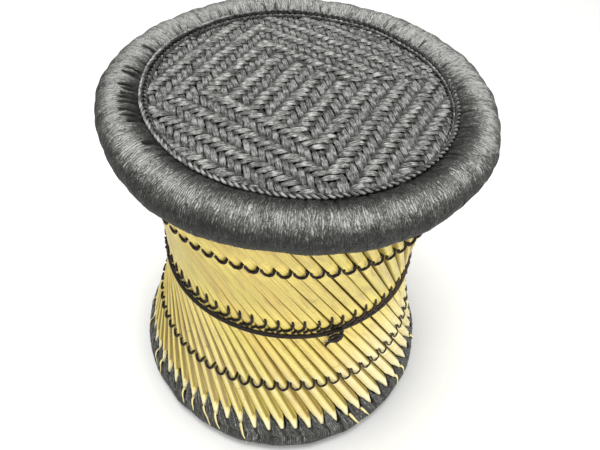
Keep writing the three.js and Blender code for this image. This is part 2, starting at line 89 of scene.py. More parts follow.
RIM_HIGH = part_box("rim_winding")[1]
BASE_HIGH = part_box("base_winding")[1]
OUTER_NODES = sorted(n for n in frame["nodes"] if n.startswith("outer_canes_"))
INNER_NODES = sorted(n for n in frame["nodes"] if n.startswith("inner_canes_"))


def linear(hex_colour):
    """An sRGB hex colour as linear red, green and blue."""
    channels = [int(hex_colour[i : i + 2], 16) / 255 for i in (1, 3, 5)]
    return tuple(c / 12.92 if c <= 0.04045 else ((c + 0.055) / 1.055) ** 2.4 for c in channels)


def length(name, description, default):
    """A length property, given in metres."""
    return FloatProperty(
        name=name, description=description, default=default, min=0, unit="LENGTH", precision=5
    )


def angle(name, description, default):
    """An angle property, given in degrees."""
    return FloatProperty(
        name=name, description=description, default=math.radians(default), subtype="ANGLE"
    )


def colour(name, description, hex_colour):
    """A colour property, given as sRGB hex."""
    return FloatVectorProperty(
        name=name, description=description, default=linear(hex_colour), min=0, max=1, size=3,
        subtype="COLOR",
    )


# Sizes and colours


class WallSizes(bpy.types.PropertyGroup):
    """The two layers of leaning canes and what ties them."""

    throat_radius: length("Throat Radius", "Axes of the outer canes at the waist", 0.14344)
    throat_height: length("Throat Height", "Height at which the outer canes come closest", 0.22234)
    slope: FloatProperty(
        name="Slope", description="Sideways run of an outer cane for each rise", default=0.59768
    )
    inner_throat_radius: length("Inner Throat Radius", "Axes of the inner canes at the waist", 0.13122)
    inner_throat_height: length(
        "Inner Throat Height", "Height at which the inner canes come closest", 0.22242
    )
    inner_slope: FloatProperty(
        name="Inner Slope", description="Sideways run of an inner cane for each rise", default=0.5672
    )
    cane_width: length("Cane Width", "Width of an outer cane", 0.01148)
    inner_cane_width: length("Inner Cane Width", "Width of an inner cane", 0.011)
    cane_bottom: length("Cane Bottom", "Height of the outer canes' points", 0.03645)
    cane_top: length("Cane Top", "Height of the outer canes' tops, inside the rim", 0.38116)
    inner_bottom: length("Inner Bottom", "Height of the inner canes' feet", 0.0411)
    inner_top: length("Inner Top", "Height of the inner canes' tops", 0.38438)
    tip_length: length("Tip Length", "Length of the pointed foot of an outer cane", 0.024)
    upper_tie: length("Upper Tie", "Height of the upper row of ties", 0.32116)
    waist_tie: length("Waist Tie", "Height of the row of ties over the waist band", 0.2155)
    lower_tie: length("Lower Tie", "Height of the lower row of ties", 0.11419)
    tie_cord: length("Tie Cord", "Diameter of the twine of the ties", 0.0036)
    band_height: length("Band Height", "Height of the cord round the waist", 0.202)
    band_cord: length("Band Cord", "Diameter of the cord round the waist", 0.0024)
    knot_bearing: angle("Knot Bearing", "Where the knot is, from +X", -68)


class RingSizes(bpy.types.PropertyGroup):
    """The wound rings of the rim and the base."""

    rim_radius: length("Rim Radius", "Middle of the rim's section", RIM_HIGH.x - 0.024)
    rim_height: length("Rim Height", "Height of the middle of the rim's section", RIM_HIGH.z - 0.022)
    rim_half_width: length("Rim Half Width", "Half of the rim's width", 0.024)
    rim_half_height: length("Rim Half Height", "Half of the rim's height", 0.022)
    rim_bunches: IntProperty(name="Rim Bunches", description="Bunches of turns round the rim", default=54)
    bunch_turns: IntProperty(name="Bunch Turns", description="Turns of twine in a bunch", default=12)
    base_radius: length("Base Radius", "Middle of the base's section", BASE_HIGH.x - 0.022)
    base_height: length("Base Height", "Height of the middle of the base's section", 0.02173)
    base_half: length("Base Half", "Half of the base's width and height", 0.022)
    peak_height: length("Peak Height", "Height that the winding reaches between two canes", 0.065)
    dip_height: length("Dip Height", "Height of the winding over a cane's point", 0.0435)


class SeatSizes(bpy.types.PropertyGroup):
    """The woven seat and its border."""

    weave_radius: length("Weave Radius", "Where the weave goes under its border", 0.1565)
    edge_height: length("Edge Height", "Height of the weave at its edge", 0.4098)
    crown: length("Crown", "How far the middle stands above the edge", 0.0068)
    warp_pitch: length("Warp Pitch", "From one warp strand to the next", 0.0058)
    weft_pitch: length("Weft Pitch", "From one weft strand to the next", 0.0065)
    weave_turn: angle("Weave Turn", "Direction of the weft, from +X", 16.5)
    border_cord: length("Border Cord", "Diameter of the border cords", 0.0052)


class StoolColours(bpy.types.PropertyGroup):
    """Colours of the stool's materials."""

    cane: colour("Cane", "Skin of the outer canes", "#E5D170")
    # The inner canes' skin is a darker copy of the outer canes': painted shade behind the outer layer.
    inner_cane: colour("Inner Cane", "Skin of the inner canes", "#8A7440")
    wound_twine: colour("Wound Twine", "Plastic twine of the rim and base", "#3A3A37")
    seat_twine: colour("Seat Twine", "Plastic twine of the seat", "#474745")
    tie_twine: colour("Tie Twine", "Twine of the ties and the waist", "#241915")
    grass: colour("Grass", "Dry grass in the rings", "#9C8750")
    floor: colour("Floor", "Paper floor", "#F7F7F5")


# Meshes


def deselect_all():
    """Leaves no object selected or active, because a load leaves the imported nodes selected."""
    for other in bpy.context.view_layer.objects:
        other.select_set(False)
    bpy.context.view_layer.objects.active = None


def coordinates(mesh):
    """A mesh's vertices as an array."""
    co = np.empty(len(mesh.vertices) * 3)
    mesh.vertices.foreach_get("co", co)
    return co.reshape(-1, 3)


def put_coordinates(mesh, co):
    """Moves a mesh's vertices to the rows of an array."""
    mesh.vertices.foreach_set("co", np.ascontiguousarray(co, dtype=np.float32).ravel())
    mesh.update()


def put_attribute(mesh, name, values):
    """Writes a point attribute, of numbers or of vectors."""
    values = np.asarray(values, dtype=np.float32)
    vector = values.ndim == 2
    attribute = mesh.attributes.new(name, "FLOAT_VECTOR" if vector else "FLOAT", "POINT")
    attribute.data.foreach_set("vector" if vector else "value", values.ravel())


class Heap:
    """Vertices and faces of many like pieces, gathered into one mesh."""

    def __init__(self):
        self.co, self.grain, self.tone, self.wear_and_painted_light, self.faces, self.count = [], [], [], [], [], 0

    def add(self, co, grain, faces, tone=0.5, wear_and_painted_light=0.5):
        """Adds one piece, whose faces count its own vertices from nought."""
        self.co.append(co)
        self.grain.append(grain)
        self.tone.append(np.broadcast_to(tone, len(co)))
        self.wear_and_painted_light.append(np.broadcast_to(wear_and_painted_light, len(co)))
        self.faces.extend([tuple(self.count + v for v in face) for face in faces])
        self.count += len(co)

    def finished(self, name, slot, material, *nodes, degrees=180):
        """Makes the whole heap one finished piece, shaded smooth up to an angle."""
        mesh = bpy.data.meshes.new(name)
        mesh.from_pydata(np.vstack(self.co).tolist(), [], self.faces)
        put_attribute(mesh, "grain", np.vstack(self.grain))
        put_attribute(mesh, "tone", np.concatenate(self.tone))
        put_attribute(mesh, "wear_and_painted_light", np.concatenate(self.wear_and_painted_light))
        mesh.update()
        piece = bpy.data.objects.new(name, mesh)
        bpy.context.scene.collection.objects.link(piece)
        smooth(piece, degrees)
        finish(piece, name, slot, material, *nodes)


def unit(vectors):
    """Vectors at length 1."""
    return vectors / np.linalg.norm(vectors, axis=-1, keepdims=True)


def run_along(path):
    """How far each point of a path is from its start, along it."""
    return np.concatenate([[0], np.cumsum(np.linalg.norm(np.diff(path, axis=0), axis=1))])


def twisted(path, half_lay):
    """How far a two-ply cord's section has turned at each point of a path: half round in each half lay."""
    return run_along(path) / half_lay * math.pi


def rounded(points, steps):
    """A smooth curve through points, closely sampled."""
    points = np.asarray(points, float)
    ends = np.vstack([2 * points[0] - points[1], points, 2 * points[-1] - points[-2]])
    found = []
    for i in range(1, len(ends) - 2):
        p0, p1, p2, p3 = ends[i - 1 : i + 3]
        for t in np.arange(steps) / steps:
            bend = (2 * p0 - 5 * p1 + 4 * p2 - p3) * t**2 + (3 * p1 - p0 - 3 * p2 + p3) * t**3
            found.append(0.5 * (2 * p1 + (p2 - p0) * t + bend))
    return np.array([*found, points[-1]])


def path_frame(path, outs, closed):
    """The directions aside of a path and out from it, at each of its points."""
    if closed:
        forward = np.roll(path, -1, 0) - np.roll(path, 1, 0)
    else:
        forward = np.gradient(path, axis=0)
    forward = unit(forward)
    outs = np.broadcast_to(np.asarray(outs, float), path.shape)
    outs = unit(outs - forward * (outs * forward).sum(-1, keepdims=True))
    return np.cross(outs, forward), outs


def swept(heap, path, outs, section, closed=False, width=None, twist=None, tone=0.5, wear_and_painted_light=0.5, start=0.0):
    """Adds a cord along a path. outs are the directions that the section's second axis faces and section is
    its outline of (aside, out) points. width is a scale of it, twist its turn, and tone and wear what its
    material reads, each the same all along or given at every point of the path."""
    path, section = np.asarray(path, float), np.asarray(section, float)
    n, sides = len(path), len(section)
    asides, outs = path_frame(path, outs, closed)
    turned = np.zeros(n) if twist is None else np.asarray(twist)
    scale = np.ones((n, 2)) if width is None else np.asarray(width).reshape(n, -1) * np.ones((1, 2))
    across, above = section[None, :, 0] * scale[:, :1], section[None, :, 1] * scale[:, 1:]
    c, s = np.cos(turned)[:, None], np.sin(turned)[:, None]
    u, v = across * c - above * s, across * s + above * c
    co = path[:, None] + u[..., None] * asides[:, None] + v[..., None] * outs[:, None]
    shape = (n, sides)
    run = start + run_along(path)
    grain = [np.broadcast_to(a, shape) for a in (section[:, 0], section[:, 1], run[:, None])]
    faces = []
    for i in range(n if closed else n - 1):
        a, b = i * sides, (i + 1) % n * sides
        faces += [(a + k, a + (k + 1) % sides, b + (k + 1) % sides, b + k) for k in range(sides)]
    if not closed:
        faces += [tuple(range(sides))[::-1], tuple(range((n - 1) * sides, n * sides))]
    tone, wear_and_painted_light = (np.repeat(np.broadcast_to(a, n), sides) for a in (tone, wear_and_painted_light))
    heap.add(co.reshape(-1, 3), np.stack(grain, -1).reshape(-1, 3), faces, tone, wear_and_painted_light)


def round_section(diameter, sides):
    """A round cord's outline, anticlockwise seen from ahead."""
    turns = np.arange(sides) * TURN / sides
    return diameter / 2 * np.stack([np.cos(turns), np.sin(turns)], -1)


def ply_section(diameter, sides):
    """Outline of a cord of two twisted plies, with a groove between them."""
    plies, groove_share = 2, 0.14
    turns = np.arange(sides) * TURN / sides
    crests = np.abs(np.cos(plies * turns / 2))
    radius = diameter / 2 * (1 - groove_share + groove_share * crests)
    return radius[:, None] * np.stack([np.cos(turns), np.sin(turns)], -1)


def laid_cord(heap, path, outs, diameter, lay, hand, draws):
    """Adds a closed cord of two plies that wind round each other once in each lay, to the right or left."""
    plies, ply_sides = 2, 6
    # Each ply is a little over half as wide as the cord, and presses into the other.
    ply_share, ply_out_share = 0.56, 0.27
    path = np.asarray(path, float)
    asides, outs = path_frame(path, outs, True)
    around = np.linalg.norm(path - np.roll(path, 1, 0), axis=1).sum()
    turns = hand * round(around / lay) * np.arange(len(path)) / len(path) * TURN
    for ply in range(plies):
        at = (turns + ply * TURN / plies)[:, None]
        middle = path + ply_out_share * diameter * (np.cos(at) * asides + np.sin(at) * outs)
        # A ply is rubbed where it lies on top.
        wear_and_painted_light = 0.4 + 0.3 * np.sin(at[:, 0])
        swept(
            heap, middle, outs, round_section(ply_share * diameter, ply_sides), closed=True,
            tone=draws.uniform(0.3, 0.8), wear_and_painted_light=wear_and_painted_light, start=draws.uniform(0, 1),
        )


def finish(piece, name, slot, material, *nodes, padded=None):
    """Names a finished piece, gives it its material, puts it on the root body and hides the nodes that it
    stands for.
    """
    piece.name = piece.data.name = name
    piece.data.materials.clear()
    piece.data.materials.append(material)
    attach(piece, "root")
    if nodes:
        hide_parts(*nodes)
    deselect_all()


def smooth(piece, degrees=180):
    """Shades a piece smooth up to an angle."""
    deselect_all()
    piece.select_set(True)
    bpy.context.view_layer.objects.active = piece
    if degrees < 180:
        bpy.ops.object.shade_smooth_by_angle(angle=math.radians(degrees))
    else:
        bpy.ops.object.shade_smooth()
    deselect_all()


def ripple(draws, bearing, section, slowest, fastest, waves, section_most):
    """Smooth random waves, from about -1 to 1, that close round a ring and round its section."""
    total = np.zeros(np.broadcast(bearing, section).shape)
    for _ in range(waves):
        k, m = draws.integers(slowest, fastest + 1), draws.integers(-section_most, section_most + 1)
        total += np.cos(k * bearing + m * section + draws.uniform(0, TURN))
    return total / math.sqrt(waves)


def swell(value, middle, reach):
    """A soft bump of height 1 round a middle, on a line."""
    return np.exp(-(((value - middle) / reach) ** 2))


def ring_swell(bearing, middle, reach):
    """A soft bump of height 1 round a bearing. Both are in degrees, and bearing in radians."""
    away = (bearing - math.radians(middle) + math.pi) % TURN - math.pi
    return np.exp(-((away / math.radians(reach)) ** 2))


# The wall's geometry


class Wall:
    """A layer of straight canes that lean round a throat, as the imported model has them."""

    def __init__(self, throat, slope, height, width, hand):
        self.throat, self.slope, self.height, self.width = throat, slope, height, width
        self.lean = hand * slope
        self.tilt = math.atan(slope)

    def run(self, z):
        """How far a cane has gone sideways from where it comes closest, at a height."""
        return self.lean * (np.asarray(z, float) - self.height)

    def radius(self, z):
        """Radius of the canes' axes at a height."""
        return np.hypot(self.throat, self.run(z))

    def turn(self, z):
        """How far round the stool a cane has gone at a height."""
        return np.arctan2(self.run(z), self.throat)

    def axis(self, bearing, z):
        """The place of a cane's axis at a height, from its bearing where it comes closest."""
        bearing, z = np.broadcast_arrays(np.asarray(bearing, float), np.asarray(z, float))
        run, c, s = self.run(z), np.cos(bearing), np.sin(bearing)
        return np.stack([self.throat * c - run * s, self.throat * s + run * c, z], -1)

    def along(self, bearing):
        """The direction in which a cane rises."""
        bearing = np.asarray(bearing, float)
        sideways = np.stack([-np.sin(bearing), np.cos(bearing), np.zeros_like(bearing)], -1)
        return unit(self.lean * sideways + (0, 0, 1))

    def out(self, bearing, z):
        """The direction out from a cane's axis, square to it."""
        along = self.along(bearing)
        out = unit(self.axis(bearing, z) * LEVEL)
        return unit(out - along * (out * along).sum(-1, keepdims=True))

    def flare(self, z):
        """The angle at which the wall leans out at a height."""
        return np.arctan(self.slope**2 * (np.asarray(z, float) - self.height) / self.radius(z))

    def pitch(self, z):
        """Distance square across the canes from one to the next, at a height."""
        share = np.sin(self.tilt) * self.throat / self.radius(z)
        return TURN * self.radius(z) / CANES * np.sqrt(1 - share**2)

    def skin(self, bearing, z, fill=0.0):
        """Radius of the canes' skin at a bearing and a height. fill keeps a groove from being deeper than
        that far out from the canes' axes."""
        place = (bearing - self.turn(z)) / (TURN / CANES)
        off = (place - np.floor(place) - 0.5) * self.pitch(z)
        share = np.minimum(np.abs(off) / (self.width / 2), 1)
        above = np.maximum(self.width / 2 * (1 - share**SQUARENESS) ** (1 / SQUARENESS), fill)
        return self.radius(z) + above / np.cos(self.flare(z))

    def reach(self, z):
        """Radius of the canes' outermost skin at a height."""
        return self.radius(z) + self.width / 2 / np.cos(self.flare(z))


def walls():
    """The outer and the inner layer of canes."""
    s = bpy.context.scene.stool_wall
    outer = Wall(s.throat_radius, s.slope, s.throat_height, s.cane_width, -1)
    inner = Wall(s.inner_throat_radius, s.inner_slope, s.inner_throat_height, s.inner_cane_width, 1)
    return outer, inner


def cane_bearings(groups):
    """Bearings of evenly spread canes, in their nodes' groups."""
    together = CANES // groups
    pitch = TURN / CANES
    offsets = [(i - (together - 1) / 2) * pitch for i in range(together)]
    return [[g * TURN / groups + offset for offset in offsets] for g in range(groups)]


def outer_bearings():
    """Bearings of all the outer canes, where they come closest."""
    return np.concatenate(cane_bearings(len(OUTER_NODES)))


def ring_path(radius, bearing, z):
    """Points round the stool from their radius, bearing and height."""
    radius, bearing, z = np.broadcast_arrays(radius, bearing, z)
    return np.stack([radius * np.cos(bearing), radius * np.sin(bearing), z], -1)


# Materials


def node(tree, kind, inputs=None, ramp=None, **settings):
    """Adds a node with its settings, its inputs and what they are linked to."""
    made = tree.nodes.new("ShaderNode" + kind)
    for name, value in settings.items():
        setattr(made, name, value)
    for socket, value in (inputs or {}).items():
        if isinstance(value, bpy.types.NodeSocket):
            tree.links.new(value, made.inputs[socket])
        else:
            made.inputs[socket].default_value = value
    if ramp:
        elements = made.color_ramp.elements
        while len(elements) < len(ramp):
            elements.new(1)
        for element, (place, value) in zip(elements, ramp):
            element.position, element.color = place, (*value, 1)
    return made


def empty_material(name):
    """A material with nothing in it but its output, and the attributes that its surface carries."""
    material = bpy.data.materials.new(name)
    material.use_nodes = True
    tree = material.node_tree
    tree.nodes.clear()
    grain = node(tree, "Attribute", attribute_name="grain").outputs["Vector"]
    tone = node(tree, "Attribute", attribute_name="tone").outputs["Fac"]
    wear_and_painted_light = node(tree, "Attribute", attribute_name="wear_and_painted_light").outputs["Fac"]
    return material, tree, node(tree, "OutputMaterial"), grain, tone, wear_and_painted_light


def scaled(rgb, share):
    """A colour made darker or lighter."""
    return tuple(min(1, c * share) for c in rgb)


def grey(share):
    """A neutral colour, for a mask in a ramp."""
    return (share, share, share)


def stretched(tree, grain, across, along):
    """Places of a pattern whose marks are so many metres across and along a cord or cane."""
    scale = (1 / across, 1 / across, 1 / along)
    return node(tree, "VectorMath", {0: grain, 1: scale}, operation="MULTIPLY").outputs[0]


def cane_material(name, skin, spots):
    """Reed cane, cut, dried and peeled: a waxy yellow skin with fine fibres along it, duller blotches and
    brown pin spots. It is painted pale cream as a highlight beside the ties and on the feet, most of all at
    the right of the front, and painted dark brown as shade in the grooves between two canes, on its back
    and above the waist; its joints are dark brown of their own."""
    material, tree, output, grain, tone, wear_and_painted_light = empty_material(name)
    # Fibres 0.7 mm wide and 45 mm long, and blotches 5 mm wide and 26 mm long.
    fibres = node(
        tree, "TexNoise",
        {"Vector": stretched(tree, grain, 0.7 * MM, 45 * MM), "Scale": 1, "Detail": 3, "Roughness": 0.6},
    ).outputs["Fac"]
    blotches = node(
        tree, "TexNoise", {"Vector": stretched(tree, grain, 5 * MM, 26 * MM), "Scale": 1, "Detail": 3}
    ).outputs["Fac"]
    # Pin spots, 1.2 mm wide and 2.5 mm long.
    pins = node(
        tree, "TexNoise",
        {"Vector": stretched(tree, grain, 1.2 * MM, 2.5 * MM), "Scale": 1, "Detail": 1, "Roughness": 0.6},
    ).outputs["Fac"]
    streaked = node(
        tree, "ValToRGB", {"Fac": fibres},
        ramp=[(0.28, scaled(skin, 0.58)), (0.45, scaled(skin, 0.88)), (0.66, scaled(skin, 1.1))],
    ).outputs["Color"]
    # From cane to cane: pinkish beige, straw, greenish yellow.
    toned = node(
        tree, "ValToRGB", {"Fac": tone},
        ramp=[
            (0.0, (0.93, 0.86, 0.78)), (0.15, (0.97, 0.94, 0.88)),
            (0.6, (1, 1, 0.94)), (1.0, (0.97, 1, 0.8)),
        ],
    ).outputs["Color"]
    colours = node(
        tree, "Mix", {"Factor": 1.0, 6: streaked, 7: toned}, data_type="RGBA", blend_type="MULTIPLY"
    ).outputs[2]
    # Over that lie dull blotches, brown spots, a pale cream painted highlight and a dark brown that is
    # painted shade in the grooves and the joints' own dark, in this order.
    layers = (
        (blotches, [(0.5, grey(0)), (0.72, grey(0.6))], "#B08F4C"),
        (pins, [(0.68, grey(0)), (0.75, grey(spots))], "#6A4A22"),
        (wear_and_painted_light, [(0.55, grey(0)), (1.0, grey(0.75))], "#F3ECC6"),
        (wear_and_painted_light, [(0.02, grey(0.9)), (0.4, grey(0))], "#533F12"),
    )
    for pattern, ramp, hex_colour in layers:
        share = node(tree, "ValToRGB", {"Fac": pattern}, ramp=ramp).outputs["Color"]
        colours = node(
            tree, "Mix", {"Factor": share, 6: colours, 7: (*linear(hex_colour), 1)}, data_type="RGBA"
        ).outputs[2]
    rough = node(tree, "MapRange", {"Value": fibres, "To Min": 0.34, "To Max": 0.55}).outputs["Result"]
    bump = node(tree, "Bump", {"Height": fibres, "Strength": 0.3, "Distance": 0.4 * MM}).outputs["Normal"]
    shader = node(
        tree, "BsdfPrincipled",
        {"Base Color": colours, "Roughness": rough, "IOR": 1.5, "Normal": bump, "Coat Weight": 0.12,
         "Coat Roughness": 0.3},
    )
    tree.links.new(shader.outputs[0], output.inputs["Surface"])
    return material


def twine_material(name, body, painted_sheen, fibre, streak, tangle, rough, bump_depth):
    """Polypropylene twine, drawn, split and wound tight: flat black fibres with a painted silver sheen in
    streaks that follow each turn, painted bright as a highlight where the cord faces the light or is
    rubbed, and painted dark as shade in its creases. fibre is the width of a tuft of fibres, drawn about
    twice as coarse as it is so that it shows in the render, streak the length of a bright stretch and
    tangle how much the fibres wander."""
    material, tree, output, grain, tone, wear_and_painted_light = empty_material(name)
    fibres = node(
        tree, "TexNoise",
        {"Vector": stretched(tree, grain, fibre, 0.7 * streak), "Scale": 1, "Detail": 2, "Roughness": 0.65,
         "Distortion": tangle},
    ).outputs["Fac"]
    # Each turn of cord has bright stretches of its own, painted glints of sheen, so its tone sets it apart
    # in the pattern.
    parts = node(tree, "SeparateXYZ", {0: grain})
    own = node(tree, "Math", {0: tone, 1: 97.0}, operation="MULTIPLY").outputs[0]
    run = node(tree, "Math", {0: parts.outputs[2], 1: 1 / streak}, operation="MULTIPLY").outputs[0]
    turn_place = node(tree, "CombineXYZ", {0: own, 1: run}).outputs[0]
    stretches = node(tree, "TexNoise", {"Vector": turn_place, "Scale": 1, "Detail": 1.5}).outputs["Fac"]
    patches = node(
        tree, "TexNoise", {"Vector": stretched(tree, grain, 15 * MM, 20 * MM), "Scale": 1, "Detail": 2}
    ).outputs["Fac"]
    # The patterns are centred on nought, so that wear alone, with its painted highlights and shade, says
    # how bright a place is on the whole.
    lit = wear_and_painted_light
    for pattern, share in ((fibres, 1.6), (stretches, 0.9), (patches, 0.4)):
        centred = node(tree, "Math", {0: pattern, 1: 0.5}, operation="SUBTRACT").outputs[0]
        lit = node(tree, "Math", {0: centred, 1: share, 2: lit}, operation="MULTIPLY_ADD").outputs[0]
    # The ramp runs from painted shade in the creases up to the painted sheen, a silver highlight.
    colours = node(
        tree, "ValToRGB", {"Fac": lit},
        ramp=[
            (0.0, scaled(body, 0.15)), (0.25, scaled(body, 0.6)),
            (0.5, scaled(body, 1.9)), (0.85, painted_sheen),
        ],
    ).outputs["Color"]
    roughness = node(
        tree, "MapRange", {"Value": patches, "To Min": rough - 0.08, "To Max": rough + 0.12}
    ).outputs["Result"]
    bump = node(tree, "Bump", {"Height": fibres, "Strength": 1.0, "Distance": bump_depth}).outputs["Normal"]
    shader = node(
        tree, "BsdfPrincipled",
        {"Base Color": colours, "Roughness": roughness, "IOR": 1.49, "Specular IOR Level": 0.3,
         "Normal": bump},
    )
    tree.links.new(shader.outputs[0], output.inputs["Surface"])
    return material


def jute_material(name, body, pale_tint):
    """Dyed jute twine, spun and twisted: dark, matt and hairy, with a few paler fibres, and a paler greyish
    brown where its tone is high."""
    material, tree, output, grain, tone, _ = empty_material(name)
    # Fibres 0.7 mm wide and 4 mm long.
    fibres = node(
        tree, "TexNoise",
        {"Vector": stretched(tree, grain, 0.7 * MM, 4 * MM), "Scale": 1, "Detail": 3, "Roughness": 0.65},
    ).outputs["Fac"]
    dyed = node(tree, "ValToRGB", {"Fac": tone}, ramp=[(0.4, body), (1.0, pale_tint)]).outputs["Color"]
    hairy = node(
        tree, "ValToRGB", {"Fac": fibres}, ramp=[(0.3, grey(0.4)), (0.55, grey(0.9)), (0.8, grey(1))]
    ).outputs["Color"]
    colours = node(
        tree, "Mix", {"Factor": 1.0, 6: dyed, 7: hairy}, data_type="RGBA", blend_type="MULTIPLY"
    ).outputs[2]
    bump = node(tree, "Bump", {"Height": fibres, "Strength": 0.8, "Distance": 0.5 * MM}).outputs["Normal"]
    shader = node(
        tree, "BsdfPrincipled",
        {"Base Color": colours, "Roughness": 0.82, "IOR": 1.45, "Sheen Weight": 0.05, "Normal": bump},
    )
    tree.links.new(shader.outputs[0], output.inputs["Surface"])
    return material


def grass_material(name, body):
    """Dry grass in a bundle: dull straw stems, each of its own shade, with pale and brown fibres."""
    material, tree, output, grain, tone, _ = empty_material(name)
    # Fibres 1 mm wide and 30 mm long.
    fibres = node(
        tree, "TexNoise",
        {"Vector": stretched(tree, grain, 1 * MM, 30 * MM), "Scale": 1, "Detail": 3, "Roughness": 0.7},
    ).outputs["Fac"]
    shade = node(
        tree, "ValToRGB", {"Fac": tone}, ramp=[(0.0, scaled(body, 0.55)), (1.0, scaled(body, 1.25))]
    ).outputs["Color"]
    marks = node(
        tree, "ValToRGB", {"Fac": fibres}, ramp=[(0.3, grey(0.5)), (0.6, grey(1))]
    ).outputs["Color"]
    colours = node(
        tree, "Mix", {"Factor": 1.0, 6: shade, 7: marks}, data_type="RGBA", blend_type="MULTIPLY"
    ).outputs[2]
    bump = node(tree, "Bump", {"Height": fibres, "Strength": 0.6, "Distance": 0.5 * MM}).outputs["Normal"]
    shader = node(
        tree, "BsdfPrincipled", {"Base Color": colours, "Roughness": 0.85, "IOR": 1.45, "Normal": bump}
    )
    tree.links.new(shader.outputs[0], output.inputs["Surface"])
    return material


def paper_material(name, body):
    """Seamless paper: matt, nearly white, with the faintest mottle."""
    material, tree, output, _, _, _ = empty_material(name)
    place = node(tree, "TexCoord").outputs["Object"]
    # Mottle about 70 mm across.
    mottle = node(tree, "TexNoise", {"Vector": place, "Scale": 14, "Detail": 2}).outputs["Fac"]
    colours = node(
        tree, "ValToRGB", {"Fac": mottle}, ramp=[(0.3, scaled(body, 0.985)), (0.7, body)]
    ).outputs["Color"]
    shader = node(tree, "BsdfPrincipled", {"Base Color": colours, "Roughness": 0.95, "IOR": 1.4})
    tree.links.new(shader.outputs[0], output.inputs["Surface"])
    return material


def material_called(name):
    """A finished material, made when it is first asked for."""
    if name in bpy.data.materials:
        return bpy.data.materials[name]
    c = bpy.context.scene.stool_colours
    wound, seat = tuple(c.wound_twine), tuple(c.seat_twine)
    makers = {
        "peeled_reed_cane": lambda: cane_material(name, tuple(c.cane), 0.8),
        # The inner canes are painted darker as shade behind the outer layer.
        "shaded_inner_cane": lambda: cane_material(name, tuple(c.inner_cane), 0.5),
        "wound_polypropylene_twine": lambda: twine_material(
            name, wound, linear("#A2A29F"), 0.9 * MM, 5 * MM, 2.0, 0.5, 0.7 * MM
        ),
        "weft_polypropylene_twine": lambda: twine_material(
            name, seat, linear("#AAAAA7"), 1.2 * MM, 7 * MM, 0.6, 0.5, 0.7 * MM
        ),
        # The warp is a darker copy of the weft's twine: painted shade, for the sheen that only the weft
        # catches.
        "warp_polypropylene_twine": lambda: twine_material(
            name, scaled(seat, 0.85), linear("#949492"), 1.2 * MM, 7 * MM, 0.6, 0.55, 0.7 * MM
        ),
        "dyed_jute_twine": lambda: jute_material(name, tuple(c.tie_twine), linear("#6A5A50")),
        "dry_sarkanda_grass": lambda: grass_material(name, tuple(c.grass)),
        "seamless_paper": lambda: paper_material(name, tuple(c.floor)),
    }
    return makers[name]()


# Canes


def cane_stops(reach, ring_gap, tip, knuckles):
    """How far along a cane its rings of vertices are: evenly spread, and closer at its joints and point."""
    stops = set(np.round(np.arange(ring_gap, reach, ring_gap), 6)) | {round(reach, 6)}
    for knuckle in knuckles:
        stops = {s for s in stops if abs(s - knuckle) > 4 * MM}
        stops |= {knuckle - 3 * MM, knuckle - 0.8 * MM, knuckle, knuckle + 3 * MM}
    stops |= {tip * share for share in (0.25, 0.5, 0.75, 1)}
    return sorted(s for s in stops if 0 < s <= reach + 1e-6)


def cane_girth(co, tip, knuckles, ties):
    """How thick a cane is at each vertex, as a share of a plain round one."""
    z = co[:, 2]
    girth = np.ones(len(co))
    # The joints stand a little proud, with a groove under them, and the ties draw the cane in.
    for knuckle in knuckles:
        girth += 0.025 * swell(z, knuckle, 2.2 * MM) - 0.02 * swell(z, knuckle - 1.4 * MM, 0.8 * MM)
    for tie in ties:
        girth += 0.005 * swell(z, tie + 16 * MM, 9 * MM) - 0.015 * swell(z, tie, 6 * MM)
    turns = np.arctan2(co[:, 1], co[:, 0])
    across, above = np.abs(np.cos(turns)) ** SQUARENESS, np.abs(np.sin(turns)) ** SQUARENESS
    # The point keeps the round section that it was cut to.
    return girth * np.where((z > tip) | (tip == 0), (across + above) ** (-1 / SQUARENESS), 1)


def cane_model(reach, width, sides, ring_gap, tip, lopsided, knuckles, ties):
    """A cane modelled by hand along +Z, its foot at the origin and its outside towards +Y. tip is the
    length of its pointed foot, or nought, and lopsided how far aside the point is. knuckles and ties are
    the places of its joints and of the twine that draws it in, along its length."""
    radius = width / 2
    # The foot starts as a sliver at the outside and comes to its full width where the point ends.
    sliver, rear = 0.12, 0.86
    wide_power, deep_power, back_power = 0.95, 0.7, 1.2
    deselect_all()
    bpy.ops.mesh.primitive_circle_add(vertices=sides, radius=radius, fill_type="NGON", location=(0, 0, 0))
    cane = bpy.context.active_object
    bpy.ops.object.mode_set(mode="EDIT")
    bpy.ops.mesh.select_mode(type="FACE")
    bpy.ops.mesh.select_all(action="SELECT")
    start, wide, deep, back = 0.0, 1.0, 1.0, 0.0
    if tip:
        wide, deep, back = sliver, sliver, radius * rear
        bpy.ops.transform.resize(value=(wide, deep, 1), center_override=(0, 0, 0))
        bpy.ops.transform.translate(value=(0, back, 0))
    for stop in cane_stops(reach, ring_gap, tip, knuckles):
        bpy.ops.mesh.extrude_region_move(TRANSFORM_OT_translate={"value": (0, 0, stop - start)})
        if start < tip:
            share = min(1, stop / tip)
            new_wide = sliver + (1 - sliver) * share**wide_power
            new_deep = sliver + (1 - sliver) * share**deep_power
            new_back = radius * rear * (1 - share) ** back_power
            bpy.ops.transform.resize(
                value=(new_wide / wide, new_deep / deep, 1), center_override=(0, back, stop)
            )
            bpy.ops.transform.translate(value=(0, new_back - back, 0))
            wide, deep, back = new_wide, new_deep, new_back
        start = stop
    bpy.ops.object.mode_set(mode="OBJECT")
    co = coordinates(cane.data)
    co[:, :2] *= cane_girth(co, tip, knuckles, ties)[:, None]
    if tip:
        # A knife cut each point from one side more than from the other.
        co[:, 0] += lopsided * radius * np.clip(1 - co[:, 2] / tip, 0, 1)
    put_coordinates(cane.data, co)
    return cane


